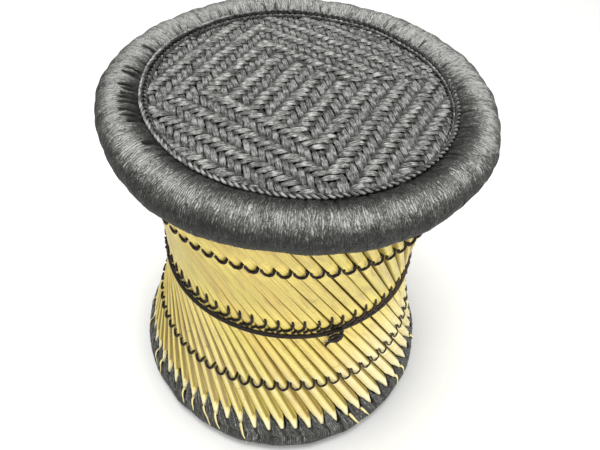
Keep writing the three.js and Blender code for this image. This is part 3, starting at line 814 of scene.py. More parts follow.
def cane_wear_and_painted_light(co, width, knuckles, ties):
    """How bright a cane model is painted at each vertex: painted shade along its flanks, where the next
    cane meets it, and on its back, dark in the groove under each joint, a painted highlight just above and
    below its ties, and for a tied cane paler towards its point."""
    z = co[:, 2]
    flank = np.clip((np.abs(co[:, 0]) / (width / 2) - 0.9) / 0.1, 0, 1)
    # Painted highlight: a tied cane is painted paler just above and just below each tie.
    wear_and_painted_light = 0.5 + sum(
        0.14 * swell(z, tie + 7 * MM, 6 * MM) + 0.1 * swell(z, tie - 12 * MM, 6 * MM) for tie in ties
    )
    if ties:
        wear_and_painted_light = wear_and_painted_light + 0.28 * swell(z, 8 * MM, 26 * MM)
    wear_and_painted_light = wear_and_painted_light - sum((0.24 * swell(z, knuckle - 0.8 * MM, 0.7 * MM) for knuckle in knuckles), 0 * z)
    # Painted shade: the back and the flanks, where the next cane meets this one, are painted darker.
    return np.where(co[:, 1] < -0.2 * width, 0.3, wear_and_painted_light * (1 - 0.85 * flank))


def placed_canes(heap, models, wall, bearings, bottom, draws, bow):
    """Copies cane models to bearings of their layer."""
    for bearing in bearings:
        co, wear_and_painted_light, faces = models[draws.integers(len(models))]
        z = co[:, 2]
        # No two canes are equally thick, or quite straight.
        size = draws.uniform(0.95, 1.01)
        bend = bow * draws.uniform(-1, 1) * np.sin(np.pi * z / z.max())
        out, along = wall.out(bearing, wall.height), wall.along(bearing)
        aside = np.cross(out, along)
        across = co[:, :1] * size + bend[:, None]
        spot = wall.axis(bearing, bottom) + across * aside + co[:, 1:2] * size * out + z[:, None] * along
        # Painted light: the feet are painted paler as a highlight, most of all at the right of the front
        # where the light falls, and the canes above the waist are painted darker as shade under the rim.
        lit_right_front = np.maximum(ring_swell(np.arctan2(spot[:, 1], spot[:, 0]), -40, 40), 0.6)
        painted_foot_highlight = lit_right_front * np.clip((0.2 - spot[:, 2]) / 0.08, 0, 1)
        painted_shade_under_rim = np.clip((spot[:, 2] - 0.2) / 0.05, 0, 1)
        wear_plus_painted_light = wear_and_painted_light + (0.36 * painted_foot_highlight - 0.19 * painted_shade_under_rim) * (wear_and_painted_light > 0.4)
        heap.add(spot, co + draws.uniform(0, 5, 3), faces, draws.uniform(0, 1), wear_plus_painted_light)


def cane_pieces(wall, nodes, models, bottom, material, slot, seed, bow):
    """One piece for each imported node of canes. bow is how far a cane may bend aside in its middle."""
    draws = np.random.default_rng(seed)
    for name, bearings in zip(nodes, cane_bearings(len(nodes))):
        heap = Heap()
        placed_canes(heap, models, wall, bearings, bottom, draws, bow)
        heap.finished(name + "_skin", slot, material, name, degrees=50)


def cane_models(count, seed, reach, width, sides, ring_gap, tip, ties):
    """A few different cane models, as their vertices, wear and faces. One in four of the joints that a
    cane grew shows on it."""
    draws = np.random.default_rng(seed)
    models = []
    for _ in range(count):
        first = draws.uniform(0.05, 0.19)
        places = (first, first + draws.uniform(0.17, 0.23))
        knuckles = [k for k in places if k < reach - 10 * MM and draws.uniform() < 0.25]
        lopsided = draws.uniform(-0.2, 0.7)
        cane = cane_model(reach, width, sides, ring_gap, tip, lopsided, knuckles, ties)
        co = coordinates(cane.data)
        faces = [tuple(p.vertices) for p in cane.data.polygons]
        models.append((co, cane_wear_and_painted_light(co, width, knuckles, ties), faces))
        bpy.data.objects.remove(cane)
    return models


class STOOL_OT_outer_canes(bpy.types.Operator):
    """Builds the outer layer of canes, two to a piece"""

    bl_idname = "stool.outer_canes"
    bl_label = "Outer Canes"

    def execute(self, context):
        s = context.scene.stool_wall
        outer, _ = walls()
        reach = (s.cane_top - s.cane_bottom) / math.cos(outer.tilt)
        rows = (s.lower_tie, s.waist_tie, s.upper_tie)
        ties = [(z - s.cane_bottom) / math.cos(outer.tilt) for z in rows]
        models = cane_models(
            count=9, seed=11, reach=reach, width=s.cane_width, sides=16, ring_gap=9 * MM,
            tip=s.tip_length, ties=ties,
        )
        material = material_called("peeled_reed_cane")
        cane_pieces(
            outer, OUTER_NODES, models, s.cane_bottom, material, "outer_cane", seed=21, bow=0.6 * MM
        )
        return {"FINISHED"}


class STOOL_OT_inner_canes(bpy.types.Operator):
    """Builds the inner layer of canes, six to a piece"""

    bl_idname = "stool.inner_canes"
    bl_label = "Inner Canes"

    def execute(self, context):
        s = context.scene.stool_wall
        _, inner = walls()
        reach = (s.inner_top - s.inner_bottom) / math.cos(inner.tilt)
        models = cane_models(
            count=4, seed=12, reach=reach, width=s.inner_cane_width, sides=10, ring_gap=30 * MM,
            tip=0, ties=[],
        )
        material = material_called("shaded_inner_cane")
        cane_pieces(
            inner, INNER_NODES, models, s.inner_bottom, material, "inner_cane", seed=22, bow=0.4 * MM
        )
        return {"FINISHED"}


# Ties, band and knot

# Length in which the plies of the ties' and of the band's twine come half round
TIE_HALF_LAY = 6 * MM
BAND_HALF_LAY = 7 * MM


def draped(wall, bearing, aside, z, lift, fill):
    """A path over the canes, from how far its points lie aside of a bearing, their heights and how far
    they stand off the skin."""
    turned = bearing + aside / wall.reach(z)
    return ring_path(wall.skin(turned, z, fill) + lift, turned, z)


def on_the_right(bearing):
    """From 0 at the left of the stool to 1 at its right, and low at the front, for a bearing in radians."""
    return float(np.clip(ring_swell(bearing, -15, 60) * 1.4, 0, 1))


def on_the_left(bearing):
    """From 0 at the right of the stool to 1 at its left, and low at the front, for a bearing in radians."""
    return float(np.clip(ring_swell(bearing, 190, 55) * 1.6, 0, 1))


def tie_loops(wall, height, cord, thinning, draws):
    """A heap of loops, one round each outer cane. Each hangs over its cane in a half circle, and its arms
    go into the grooves on both sides, where they meet their neighbours'. thinning is how much thinner and
    paler the twine is at the right."""
    heap = Heap()
    half = TURN * wall.radius(height) / CANES / 2
    buried = 8 * MM
    for bearing in outer_bearings() + wall.turn(height):
        right, left = on_the_right(bearing), on_the_left(bearing)
        own = cord * (1 - thinning * right) * draws.uniform(0.92, 1.06)
        sag = half * draws.uniform(0.95, 1.2)
        tilt = draws.uniform(-0.08, 0.08)
        # At the left the loops are drawn deep into the grooves, so that they show as single dashes.
        t = np.radians(np.linspace(-90, 90, 13)) * (1 - 0.3 * left)
        aside = (half * (1 - 0.22 * left) - 0.3 * own) * np.sin(t)
        z = height - 0.5 * sag + sag * (1 - np.cos(t)) + tilt * aside
        # The arms run on up the grooves and in between the canes.
        climb, dive = (1 - 0.8 * left) * MM, (1.5 + 2.5 * left) * MM
        first_arm = aside[0] - np.array([0.6, 0.2]) * MM
        second_arm = aside[-1] - np.array([0.8, 1.6]) * MM
        aside = np.concatenate([first_arm, aside, second_arm])
        z = np.concatenate([z[0] + climb * np.array([4, 2]), z, z[-1] + climb * np.array([2, 4])])
        lift = np.concatenate([[-buried, -dive], np.full(len(t), 0.5 * own), [-dive, -buried]])
        path = draped(wall, bearing, aside, z, lift, 0.28 * wall.width)
        swept(
            heap, path, path * LEVEL, ply_section(own, 8), twist=twisted(path, TIE_HALF_LAY),
            tone=0.3 + 0.6 * thinning * 2 * right * draws.uniform(0.6, 1), start=draws.uniform(0, 1),
        )
    return heap


def waist_strokes(wall, height, cord, draws):
    """A heap for the row over the band: each twine comes out of the groove at the right of its cane, hangs
    straight down and bends to the left over the cane into the band."""
    heap = Heap()
    half = TURN * wall.radius(height) / CANES / 2
    # Aside of the cane in halves of its pitch, up from the middle of the row, and out from the canes' skin
    asides = np.array([0.6, 0.8, 0.96, 1.0, 0.92, 0.62, 0.1, -0.5, -1.0, -1.3])
    ups = np.array([15.5, 13.0, 9.0, 4.5, 0.0, -3.0, -5.2, -6.6, -7.4, -8.0]) * MM
    lifts = np.array([-6.0, -1.5, 0.6, 1.1, 1.3, 1.3, 1.3, 1.4, 1.8, 2.0]) * MM
    for bearing in outer_bearings() + wall.turn(height):
        right, left = on_the_right(bearing), on_the_left(bearing)
        own = cord * draws.uniform(0.92, 1.08) * (1 - 0.1 * right)
        tall, long = draws.uniform(0.85, 1.1, 2)
        # At the left the strokes end a little above the band.
        heights = height + ups * tall + 2.5 * MM * left
        aside, z, lift = rounded(np.stack([asides * half * long, heights, lifts], -1), 3).T
        path = draped(wall, bearing, aside, z, lift, 0.3 * wall.width)
        swept(
            heap, path, path * LEVEL, ply_section(own, 8), twist=twisted(path, TIE_HALF_LAY),
            tone=0.3 + 0.35 * right, start=draws.uniform(0, 1),
        )
    return heap


def level_cord(radius, height, cord, draws):
    """A heap with a plain closed cord round the inside of the wall, which rises and falls a little."""
    steps = 6 * CANES
    bearing = np.arange(steps) * TURN / steps
    path = ring_path(radius, bearing, height + 0.4 * MM * ripple(draws, bearing, 0, 20, 66, 12, 0))
    heap = Heap()
    swept(heap, path, path * LEVEL, round_section(cord, 8), closed=True)
    return heap


class STOOL_OT_ties(bpy.types.Operator):
    """Builds the three rows of twine loops and their strands inside the wall"""

    bl_idname = "stool.ties"
    bl_label = "Ties"

    def execute(self, context):
        s = context.scene.stool_wall
        outer, _ = walls()
        jute = material_called("dyed_jute_twine")
        draws = np.random.default_rng(3)
        rows = {
            "upper": tie_loops(outer, s.upper_tie, s.tie_cord * 0.95, 0.1, draws),
            "waist": waist_strokes(outer, s.waist_tie, s.tie_cord * 0.98, draws),
            "lower": tie_loops(outer, s.lower_tie, s.tie_cord, 0.35, draws),
        }
        for row, loops in rows.items():
            loops.finished(row + "_tie_loops", "twine", jute, row + "_tie_cord")
        for row in rows:
            node_name = row + "_inner_tie_cord"
            low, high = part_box(node_name)
            cord = high.z - low.z
            strand = level_cord(high.x - cord / 2, (low.z + high.z) / 2, cord, draws)
            strand.finished(row + "_inner_tie", "twine", jute, node_name)
        return {"FINISHED"}


class STOOL_OT_waist_band(bpy.types.Operator):
    """Builds the cord that is wound round the waist"""

    bl_idname = "stool.waist_band"
    bl_label = "Waist Band"

    def execute(self, context):
        s = context.scene.stool_wall
        outer, _ = walls()
        draws = np.random.default_rng(31)
        turn_count, steps_each = 3, 480
        turns = np.linspace(0, turn_count, turn_count * steps_each + 1)
        bearing = s.knot_bearing + turns * TURN
        # The turns lie close at the front and open a little at the left.
        apart = 1.3 * MM * ring_swell(bearing, -155, 35) * np.clip(2 * (1.3 - turns), 0, 1)
        wander = 0.3 * MM * ripple(draws, bearing, 0, 3, 11, 6, 0)
        z = s.band_height - (turns - turn_count / 2) * 0.85 * s.band_cord + apart + wander
        radius = outer.reach(z) + 0.42 * s.band_cord
        path = ring_path(radius, bearing, z)
        # The last turn, which is the lowest, is paler at the right.
        pale_tint = (turns > 2) * np.clip(1.5 * ring_swell(bearing, -25, 45), 0, 1)
        heap = Heap()
        swept(
            heap, path, path * LEVEL, ply_section(s.band_cord, 8), twist=twisted(path, BAND_HALF_LAY),
            tone=0.3 + 0.5 * pale_tint,
        )
        heap.finished("waist_band", "twine", material_called("dyed_jute_twine"), "waist_band_cord")
        return {"FINISHED"}


class STOOL_OT_waist_knot(bpy.types.Operator):
    """Builds the knot in the waist cord with its two tails"""

    bl_idname = "stool.waist_knot"
    bl_label = "Waist Knot"

    def execute(self, context):
        s = context.scene.stool_wall
        outer, _ = walls()
        # Aside, up and out from the wall at the knot, in millimetres: a half hitch tight over the band
        hitch = [
            (-11, 0, 2), (-8, 6, 4), (-2, 9, 7), (6, 7, 7), (9, 1, 5), (6, -6, 4), (-1, -9, 5), (-7, -5, 8),
            (-6, 3, 9), (0, 6, 10), (6, 3, 10), (7, -3, 8), (1, -6, 10), (-4, -1, 11), (0, 3, 12),
            (4, 0, 10),
        ]
        left_tail = [(3, 0, 9), (0, -5, 10), (-2, -9, 7), (-4, -13, 4), (-7, -17, 3), (-8, -22, 2)]
        right_tail = [(-2, 1, 9), (3, 0, 11), (7, -4, 8), (9, -9, 5), (8, -13, 3), (10, -17, 2)]
        heap = Heap()
        for points in (hitch, left_tail, right_tail):
            aside, up, out = (np.array(points, float) * MM).T
            z = s.band_height + up
            radius = outer.reach(z) + out
            path = rounded(ring_path(radius, s.knot_bearing + aside / radius, z), 8)
            swept(
                heap, path, path * LEVEL, ply_section(1.4 * s.band_cord, 10),
                twist=twisted(path, BAND_HALF_LAY), tone=0.3,
            )
        heap.finished("waist_knot_cords", "twine", material_called("dyed_jute_twine"), "waist_knot")
        return {"FINISHED"}


# Wound rings


def ring_model(columns, rows, cuts, radius, half):
    """A plain ring to shape, with each vertex's column and row, and the bearings and the angles round the
    section of all of them. cuts part each of its segments into columns."""
    deselect_all()
    bpy.ops.mesh.primitive_torus_add(
        major_segments=columns // (cuts + 1), minor_segments=rows, major_radius=radius, minor_radius=half
    )
    ring = bpy.context.active_object
    bpy.ops.object.mode_set(mode="EDIT")
    bpy.ops.mesh.select_all(action="DESELECT")
    bpy.ops.object.mode_set(mode="OBJECT")
    # The edges that run round the stool are cut, to have a few columns for each turn of twine.
    for edge in ring.data.edges:
        a, b = edge.vertices
        edge.select = a // rows != b // rows
    bpy.ops.object.mode_set(mode="EDIT")
    bpy.ops.mesh.subdivide(number_cuts=cuts)
    bpy.ops.object.mode_set(mode="OBJECT")
    x, y, z = coordinates(ring.data).T
    column = np.round(np.arctan2(y, x) / TURN * columns).astype(int) % columns
    row = np.round(np.arctan2(z, np.hypot(x, y) - radius) / TURN * rows).astype(int) % rows
    bearings, sections = np.arange(columns) * TURN / columns, np.arange(rows) * TURN / rows
    bearing, section = np.meshgrid(bearings, sections, indexing="ij")
    return ring, (column, row), bearing, section


def strand_relief(columns, per_strand, draws):
    """Height of each column of a winding, low between two turns and high along each, and the tone of its
    turn."""
    strands = columns // per_strand
    shape = np.abs(np.sin(np.arange(per_strand) * math.pi / per_strand)) ** 0.6
    heights = draws.uniform(0.45, 1.15, strands)
    tones = draws.uniform(0, 1, strands)
    return np.repeat(heights, per_strand) * np.tile(shape, strands), np.repeat(tones, per_strand)


def dress_ring(ring, spot, co, grain, tones, wear_and_painted_light, name, node_name, fill):
    """Gives a ring its shape and attributes, and finishes it."""
    put_coordinates(ring.data, co[spot])
    put_attribute(ring.data, "grain", grain[spot])
    put_attribute(ring.data, "tone", tones[spot[0]])
    put_attribute(ring.data, "wear_and_painted_light", wear_and_painted_light[spot])
    smooth(ring)
    finish(ring, name, "wound_cord", material_called("wound_polypropylene_twine"), node_name, padded=fill)


# Where the rim's padding is fuller or slacker: bearing and reach in degrees, and height in millimetres
RIM_SWELLS = (
    (18, 18, 2.5), (-22, 12, 2.0), (-50, 20, -2.0), (-128, 20, 2.0), (120, 34, -2.0), (172, 20, 1.0),
)
# Bearings at which the rim's winding gapes in a slit, in degrees
RIM_SLITS = (165.5, 178.5, 181.5, 188.0, 190.5, 193.0, 195.5, 198.5, 202.0, 205.5, 208.5, 221.0)


class STOOL_OT_rim(bpy.types.Operator):
    """Builds the padded rim in its winding of twine"""

    bl_idname = "stool.rim"
    bl_label = "Rim"

    def execute(self, context):
        s = context.scene.stool_rings
        # Columns to a turn of twine, rows round the section, and cuts in each plain segment
        per_strand, rows, cuts = 3, 42, 8
        columns = s.rim_bunches * s.bunch_turns * per_strand
        ring, spot, bearing, section = ring_model(columns, rows, cuts, s.rim_radius, s.rim_half_height)
        draws = np.random.default_rng(41)
        relief, tones = strand_relief(columns, per_strand, draws)
        drift = 1.1 * MM * ripple(draws, bearing, section, 50, 170, 36, 10) / s.rim_radius
        out = self.padding(s, bearing, section, relief, draws)
        # The winding is drawn in beside the border, and gapes in a few slits at the left.
        at_border = swell(section, math.radians(128), math.radians(20))
        gathers = np.maximum(ripple(draws, bearing, 0, 60, 140, 14, 0), 0) ** 2
        uneven = 0.35 + 0.65 * np.clip(ring_swell(bearing, 150, 60) + ring_swell(bearing, -10, 25), 0, 1)
        out -= 0.9 * MM * gathers * at_border * uneven
        slits = self.slits(bearing, section, draws)
        out -= 4.0 * MM * slits
        turned = bearing + drift * (1 - slits)
        r = s.rim_radius + (s.rim_half_width + out) * np.cos(section)
        z = s.rim_height + (s.rim_half_height + out) * np.sin(section)
        reach = s.rim_radius + s.rim_half_width
        grain = ring_path(reach, bearing, (section + math.pi) % TURN * s.rim_half_width)
        # Painted shade: the gathers beside the border are painted darker and the slits nearly black.
        wear_and_painted_light = self.wear_and_painted_light(bearing, section, relief) - 0.3 * gathers * at_border
        wear_and_painted_light = wear_and_painted_light * (1 - slits) - 0.9 * slits
        co = ring_path(r, turned, z)
        dress_ring(ring, spot, co, grain, tones, wear_and_painted_light, "rim_wound_twine", "rim_winding", 0.9)
        return {"FINISHED"}

    def padding(self, s, bearing, section, relief, draws):
        """How far the winding stands out from a plain rim, over the grass's lumps and with each turn."""
        lumps = 0.7 * MM * ripple(draws, bearing, section, 2, 7, 10, 2)
        lumps += 0.4 * MM * ripple(draws, bearing, section, 9, 30, 18, 2)
        # The bunches of turns, which the solid under this piece has too
        on_top = np.clip(np.cos(section - math.radians(40)), 0, 1)
        lumps += 0.4 * MM * np.cos(s.rim_bunches * bearing) * on_top
        out = lumps - 0.7 * MM + 0.5 * MM * relief[:, None]
        for middle, reach, height in RIM_SWELLS:
            out += height * MM * ring_swell(bearing, middle, reach) * np.clip(np.cos(section), 0, 1)
        return out

    def slits(self, bearing, section, draws):
        """How far the winding gapes, from 0 to 1, in slits that start at the border and run out from it."""
        low_side, high_side = math.radians(84), math.radians(136)
        slits = np.zeros_like(bearing)
        for middle in RIM_SLITS:
            end = math.radians(88 + draws.uniform(-6, 12))
            along = np.clip((section - end) / 0.1, 0, 1) * (section < high_side) * (section > low_side)
            slit = ring_swell(bearing, middle + draws.uniform(-0.4, 0.4), 0.62)
            slits = np.maximum(slits, slit * along)
        return slits

    def wear_and_painted_light(self, bearing, section, relief):
        """How bright the winding is painted. The crown carries a painted highlight of sheen, higher round
        the section and brighter towards the back, a little brighter at the left and the right and on the
        crest of each turn, and the side and the seam by the border are left dark as painted shade."""
        back = np.clip(np.sin(bearing) + 0.3, 0, 1)
        left, right = ring_swell(bearing, 195, 50), ring_swell(bearing, 5, 40)
        crown = swell(section, np.radians(62 + 46 * back + 12 * left), np.radians(34 + 30 * back))
        on_strands = (0.14 + 0.26 * crown) * relief[:, None]
        return -0.02 + 0.08 * (left + right) + (0.43 + 0.1 * back) * crown + on_strands


class STOOL_OT_base(bpy.types.Operator):
    """Builds the wound ring on the floor, whose winding rises in peaks between the canes"""

    bl_idname = "stool.base"
    bl_label = "Base"

    def execute(self, context):
        s = context.scene.stool_rings
        outer, _ = walls()
        # Columns to a turn of twine, turns to a cane, rows round the section, cuts in each plain segment,
        # and rows up the wall
        per_strand, strands_each, rows, cuts, climb = 3, 8, 36, 7, 11
        inside = np.radians([95, 118, 142, 160])
        columns = CANES * strands_each * per_strand
        ring, spot, bearing, _ = ring_model(columns, rows, cuts, s.base_radius, s.base_half)
        draws = np.random.default_rng(42)
        relief, tones = strand_relief(columns, per_strand, draws)
        theta, step = bearing[:, 0], TURN / CANES
        # Whole numbers of place are grooves, where the winding is highest, with the canes' points between.
        shoulder = s.base_height + s.base_half * math.sin(math.radians(30))
        place = (theta - outer.turn(shoulder)) / step
        groove = np.rint(place).astype(int) % CANES
        cane = np.floor(place).astype(int) % CANES
        off_groove = place - np.rint(place)
        away = 1 - 2 * np.abs(off_groove)
        peak = s.peak_height + draws.uniform(-4, 4, CANES)[groove] * MM
        dip = s.dip_height + draws.uniform(-2, 2, CANES)[cane] * MM
        top = dip + (peak - dip) * (0.75 * away + 0.25 * away**4)
        crease = swell(away, 0, 0.16)
        slack = 2.5 * MM * ring_swell(theta, -42, 26) - 2.0 * MM * ring_swell(theta, -92, 24)
        lumps = 0.7 * MM * ripple(draws, theta, 0, 3, 40, 16, 0)
        raised = 0.42 * MM * relief + lumps - 0.4 * MM
        radii, heights, angles, painted_light_and_wear_rows = [], [], [], []
        sway = np.linspace(0, 3, rows)
        drift = 1.0 * MM * ripple(draws, bearing, sway[None], 20, 80, 24, 1) / s.base_radius

        def add_row(radius, height, angle, wear_and_painted_light):
            radii.append(radius)
            heights.append(height)
            angles.append(angle + drift[:, len(radii) - 1])
            painted_light_and_wear_rows.append(np.broadcast_to(wear_and_painted_light, columns))

        # Under the ring from its inner side and up to the outer shoulder
        outside = np.radians(np.linspace(-190, 30, rows - climb - len(inside)))
        for phi in outside:
            over = np.clip((phi + 0.2) / 0.7, 0, 1)
            half = s.base_half + raised - 1.0 * MM * crease * over
            half = half - slack * np.clip(math.cos(phi), 0, 1) * (1 - over)
            radius = s.base_radius + half * math.cos(phi)
            height = np.maximum(s.base_height + half * math.sin(phi), 0)
            # Painted shade on the underside and in the creases over the canes' points, and a painted
            # highlight on the crest of each turn and on the shoulder.
            add_row(radius, height, theta, 0.02 + 0.14 * over + 0.38 * relief - 0.3 * crease * over)
        shoulder_r, shoulder_z = radii[-1], heights[-1]
        # Up the wall, drawn together in the grooves and lying over the canes between
        for k in range(1, climb):
            share = k / (climb - 1)
            z = shoulder_z + (top - shoulder_z) * share
            # The turns lean with the canes that they lie between.
            angle = theta + outer.turn(z) - outer.turn(shoulder) - 0.25 * share**2 * off_groove * step
            thick = (3.4 - 2.4 * share) * MM * (0.35 + 0.65 * away)
            wall_r = outer.skin(angle, z, (4.6 - 1.6 * share) * MM) + thick + 0.4 * raised
            blend = min(1, share / 0.45)
            blend = blend * blend * (3 - 2 * blend)
            creased = 0.4 * crease * (1 - 0.5 * share)
            radius = shoulder_r + (wall_r - shoulder_r) * blend
            # Painted lighter as the turns climb and on their crests, with painted shade in the creases.
            add_row(radius, z, angle, 0.14 + 0.08 * share + 0.38 * relief - creased)
        # In behind the canes at the top, at the last row's angles without its drift
        top_row = len(radii) - 1
        # Painted dark as shade behind the canes.
        add_row(radii[-1] - 6 * MM, heights[-1] - 3 * MM, angles[-1] - drift[:, top_row], 0.2)
        # Down the inside, behind the canes' feet
        for phi in inside:
            half = s.base_half - 0.6 * MM + 0.4 * raised
            # Painted dark as shade on the inside, behind the canes' feet.
            add_row(s.base_radius + half * math.cos(phi), s.base_height + half * math.sin(phi), theta, 0.3)
        r, z, turned, wear_and_painted_light = (np.stack(a, 1) for a in (radii, heights, angles, painted_light_and_wear_rows))
        co = ring_path(r, turned, z)
        steps = np.hypot(np.diff(r, axis=1), np.diff(z, axis=1))
        around = np.concatenate([np.zeros((columns, 1)), np.cumsum(steps, 1)], 1)
        grain = ring_path(s.base_radius + s.base_half, bearing, around + 0.5)
        dress_ring(ring, spot, co, grain, tones, wear_and_painted_light, "base_wound_twine", "base_winding", 0.95)
        self.splinters(co, top_row, outer, shoulder, s.dip_height, draws)
        return {"FINISHED"}

    def splinters(self, co, top_row, outer, shoulder, dip, draws):
        """Splinters of cane that some of the points have shed, which lie over the winding below them."""
        heap = Heap()
        columns = len(co)
        lowest = int(0.5 * top_row)
        start_height = dip + 4 * MM
        for cane in range(CANES):
            if draws.uniform() < 0.6:
                continue
            bearing = outer.turn(shoulder) + (cane + 0.5) * TURN / CANES
            column = int(round(bearing / TURN * columns))
            rows = np.linspace(top_row - 1, lowest + draws.integers(0, 5), 4).astype(int)
            # A splinter comes from the point's skin and lies straight down over the highest turns near it.
            near = np.arange(column - 4, column + 5) % columns
            radii = np.hypot(co[near][:, rows, 0], co[near][:, rows, 1]).max(0) + 0.9 * MM
            heights = co[near][:, rows, 2].mean(0) + 0.4 * MM
            radii = np.concatenate([[outer.reach(start_height) - 0.5 * MM], radii])
            heights = np.concatenate([[start_height], heights])
            down = np.concatenate([[0], np.cumsum(np.hypot(np.diff(radii), np.diff(heights)))])
            point = bearing + outer.turn(start_height) - outer.turn(shoulder)
            path = rounded(ring_path(radii, point + draws.uniform(0.1, 0.6) * down / radii, heights), 5)
            gone = run_along(path) / run_along(path)[-1]
            # It is flat, and runs out to a hair.
            width = np.stack([np.interp(gone, [0, 1], [3.4, 0.5]), np.full(len(path), 0.9)], -1)
            swept(
                heap, path, path * LEVEL, round_section(1.3 * MM, 5), width=width,
                tone=draws.uniform(0.2, 0.9), wear_and_painted_light=0.8, start=draws.uniform(0, 3),
            )
        heap.finished("cane_splinters", "outer_cane", material_called("peeled_reed_cane"))


def grass_bundle(radius, height, half, stems, draws):
    """A heap of grass stems that lie along a ring and fill its round section. half is half its width."""
    heap = Heap()
    steps = 120
    golden_angle = math.radians(137.5)
    bearing = np.arange(steps) * TURN / steps
    size = 2.6 * half / math.sqrt(stems)
    for k in range(stems):
        # Stems fill the section evenly, each on its own slow wave.
        far, at = math.sqrt((k + 0.5) / stems), k * golden_angle
        sway = 0.6 * MM * ripple(draws, bearing, 0, 2, 9, 5, 0)
        r = radius + half * far * math.cos(at) + sway
        z = height + half * far * math.sin(at) + 0.7 * np.roll(sway, 31)
        path = ring_path(r, bearing, z)
        swept(
            heap, path, path * LEVEL, round_section(size, 6), closed=True, tone=draws.uniform(0, 1),
            start=draws.uniform(0, 3),
        )
    return heap


class STOOL_OT_grass(bpy.types.Operator):
    """Builds the bundles of dry grass that pad the two rings"""

    bl_idname = "stool.grass"
    bl_label = "Grass Bundles"

    def execute(self, context):
        draws = np.random.default_rng(71)
        for name, stems in (("rim_grass_core", 36), ("base_grass_core", 30)):
            low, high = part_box(name)
            half = (high.z - low.z) / 2
            # Room for half the thickness of the outermost stems
            inset = 1.3 * half / math.sqrt(stems)
            bundle = grass_bundle(high.x - half, (low.z + high.z) / 2, half - inset, stems, draws)
            bundle.finished(name + "_stems", "grass", material_called("dry_sarkanda_grass"), name)
        return {"FINISHED"}


# Seat


def weft_over(i, j):
    """Whether the weft passes over the warp at a crossing, counted from the middle one. The twill rises to
    the right, but beyond a band across the middle it falls at the upper right and at the lower left, so
    that its floats draw nested angles where it turns."""
    rising = (i - j) % 6 < 3
    right = (-6 - i - j) % 6 < 3
    left = (i + j + 4) % 6 < 3
    middle = (i + j > -14) & (i + j < 9)
    upper_right = (j > 0) & (i > -3) & ~middle
    lower_left = (j <= 0) & (i <= -2) & ~middle
    return np.where(upper_right, right, np.where(lower_left, left, rising))


def seat_height(sizes, x, y):
    """Height of the weave at a place, midway between its two sets of twine."""
    share = (x * x + y * y) / sizes.weave_radius**2
    return sizes.edge_height + sizes.crown * (1 - share)


def weave_strand(heap, s, strand, level, pitch, cross_pitch, section, swing, draws):
    """Adds one strand of the seat, counted from the middle one, along the weave's own X where it is level,
    as the weft is, and along its Y otherwise. swing is how far it rises and dips at its crossings."""
    fixed = strand * pitch
    half = math.sqrt(max(s.weave_radius**2 - fixed**2, 0))
    count = int(half / cross_pitch)
    if count < 2:
        return
    steps = 3
    ids = np.arange(-count - 1, count + 2)
    on_top = weft_over(ids, strand) if level else ~weft_over(strand, ids)
    state = np.where(on_top, 1.0, -1.0)
    place = np.linspace(-count, count, 2 * count * steps + 1)
    wide_place = np.linspace(-count - 1, count + 1, 2 * (count + 1) * steps + 1)
    # A float is arched, highest in its middle, because the kernel is nearly as long as the float.
    kernel = np.hanning(2 * steps + 3)[1:-1]
    stepped = np.interp(wide_place, ids, state)
    rise = np.convolve(stepped, kernel / kernel.sum(), mode="same")[steps:-steps]
    # Both ends go down under the border.
    place = np.concatenate([[-half - 1 * MM], place * cross_pitch, [half + 1 * MM]])
    rise = np.concatenate([[-1.5], rise, [-1.5]])
    wander = 0.45 * MM * np.convolve(draws.normal(0, 1, len(place) + 8), np.ones(9) / 3, mode="valid")
    x, y = (place, fixed + wander) if level else (fixed + wander, place)
    height = seat_height(s, x, y) + swing * rise
    cosine, sine = math.cos(s.weave_turn), math.sin(s.weave_turn)
    path = np.stack([x * cosine - y * sine, x * sine + y * cosine, height], -1)
    # A strand spreads where it lies on top, is painted bright there as a highlight, and is painted dark as
    # shade where it dives under.
    up = np.clip((rise + 1) / 2, 0, 1)
    width = np.stack([0.5 + 0.5 * up, 0.7 + 0.3 * up], -1)
    swept(
        heap, path, (0, 0, 1), section, width=width, tone=draws.uniform(0, 1), wear_and_painted_light=0.58 * up**1.5,
        start=draws.uniform(0, 3),
    )


def flat_section(width, height, lobes, points):
    """Outline of a few fibrous strands side by side, lobed above and flat below."""
    x = np.linspace(width / 2, -width / 2, points)
    crest = 0.45 + 0.55 * np.abs(np.sin(lobes * math.pi * (x / width + 0.5)))
    top = height * crest * (1 - (2 * x / width) ** 6)
    upper = np.stack([x, top], -1)
    lower = np.stack([np.linspace(-width / 2, width / 2, 4)[1:-1], np.full(2, -0.6 * height)], -1)
    return np.vstack([upper, lower])


class STOOL_OT_seat(bpy.types.Operator):
    """Weaves the seat of two sets of twine"""

    bl_idname = "stool.seat"
    bl_label = "Seat"

    def execute(self, context):
        s = context.scene.stool_seat
        draws = np.random.default_rng(51)
        weft, warp = Heap(), Heap()
        rows = int(s.weave_radius / s.weft_pitch)
        section = flat_section(s.weft_pitch * 0.9, 1.6 * MM, lobes=3, points=9)
        for j in range(-rows, rows + 1):
            weave_strand(weft, s, j, True, s.weft_pitch, s.warp_pitch, section, 1.5 * MM, draws)
        columns = int(s.weave_radius / s.warp_pitch)
        section = flat_section(s.warp_pitch * 0.97, 1.2 * MM, lobes=2, points=7)
        for i in range(-columns, columns + 1):
            weave_strand(warp, s, i, False, s.warp_pitch, s.weft_pitch, section, 0.9 * MM, draws)
        for heap, name in ((weft, "weft"), (warp, "warp")):
            material = material_called(name + "_polypropylene_twine")
            heap.finished("seat_" + name, "woven_cord", material, "seat_mat", degrees=70)
        return {"FINISHED"}


# Where the border cords are pulled flat: bearing and reach in degrees, and depth in millimetres
BORDER_FLATS = ((43, 9, 1.3), (76, 10, 1.0), (138, 14, 1.2), (178, 12, 0.8), (8, 10, 0.8))


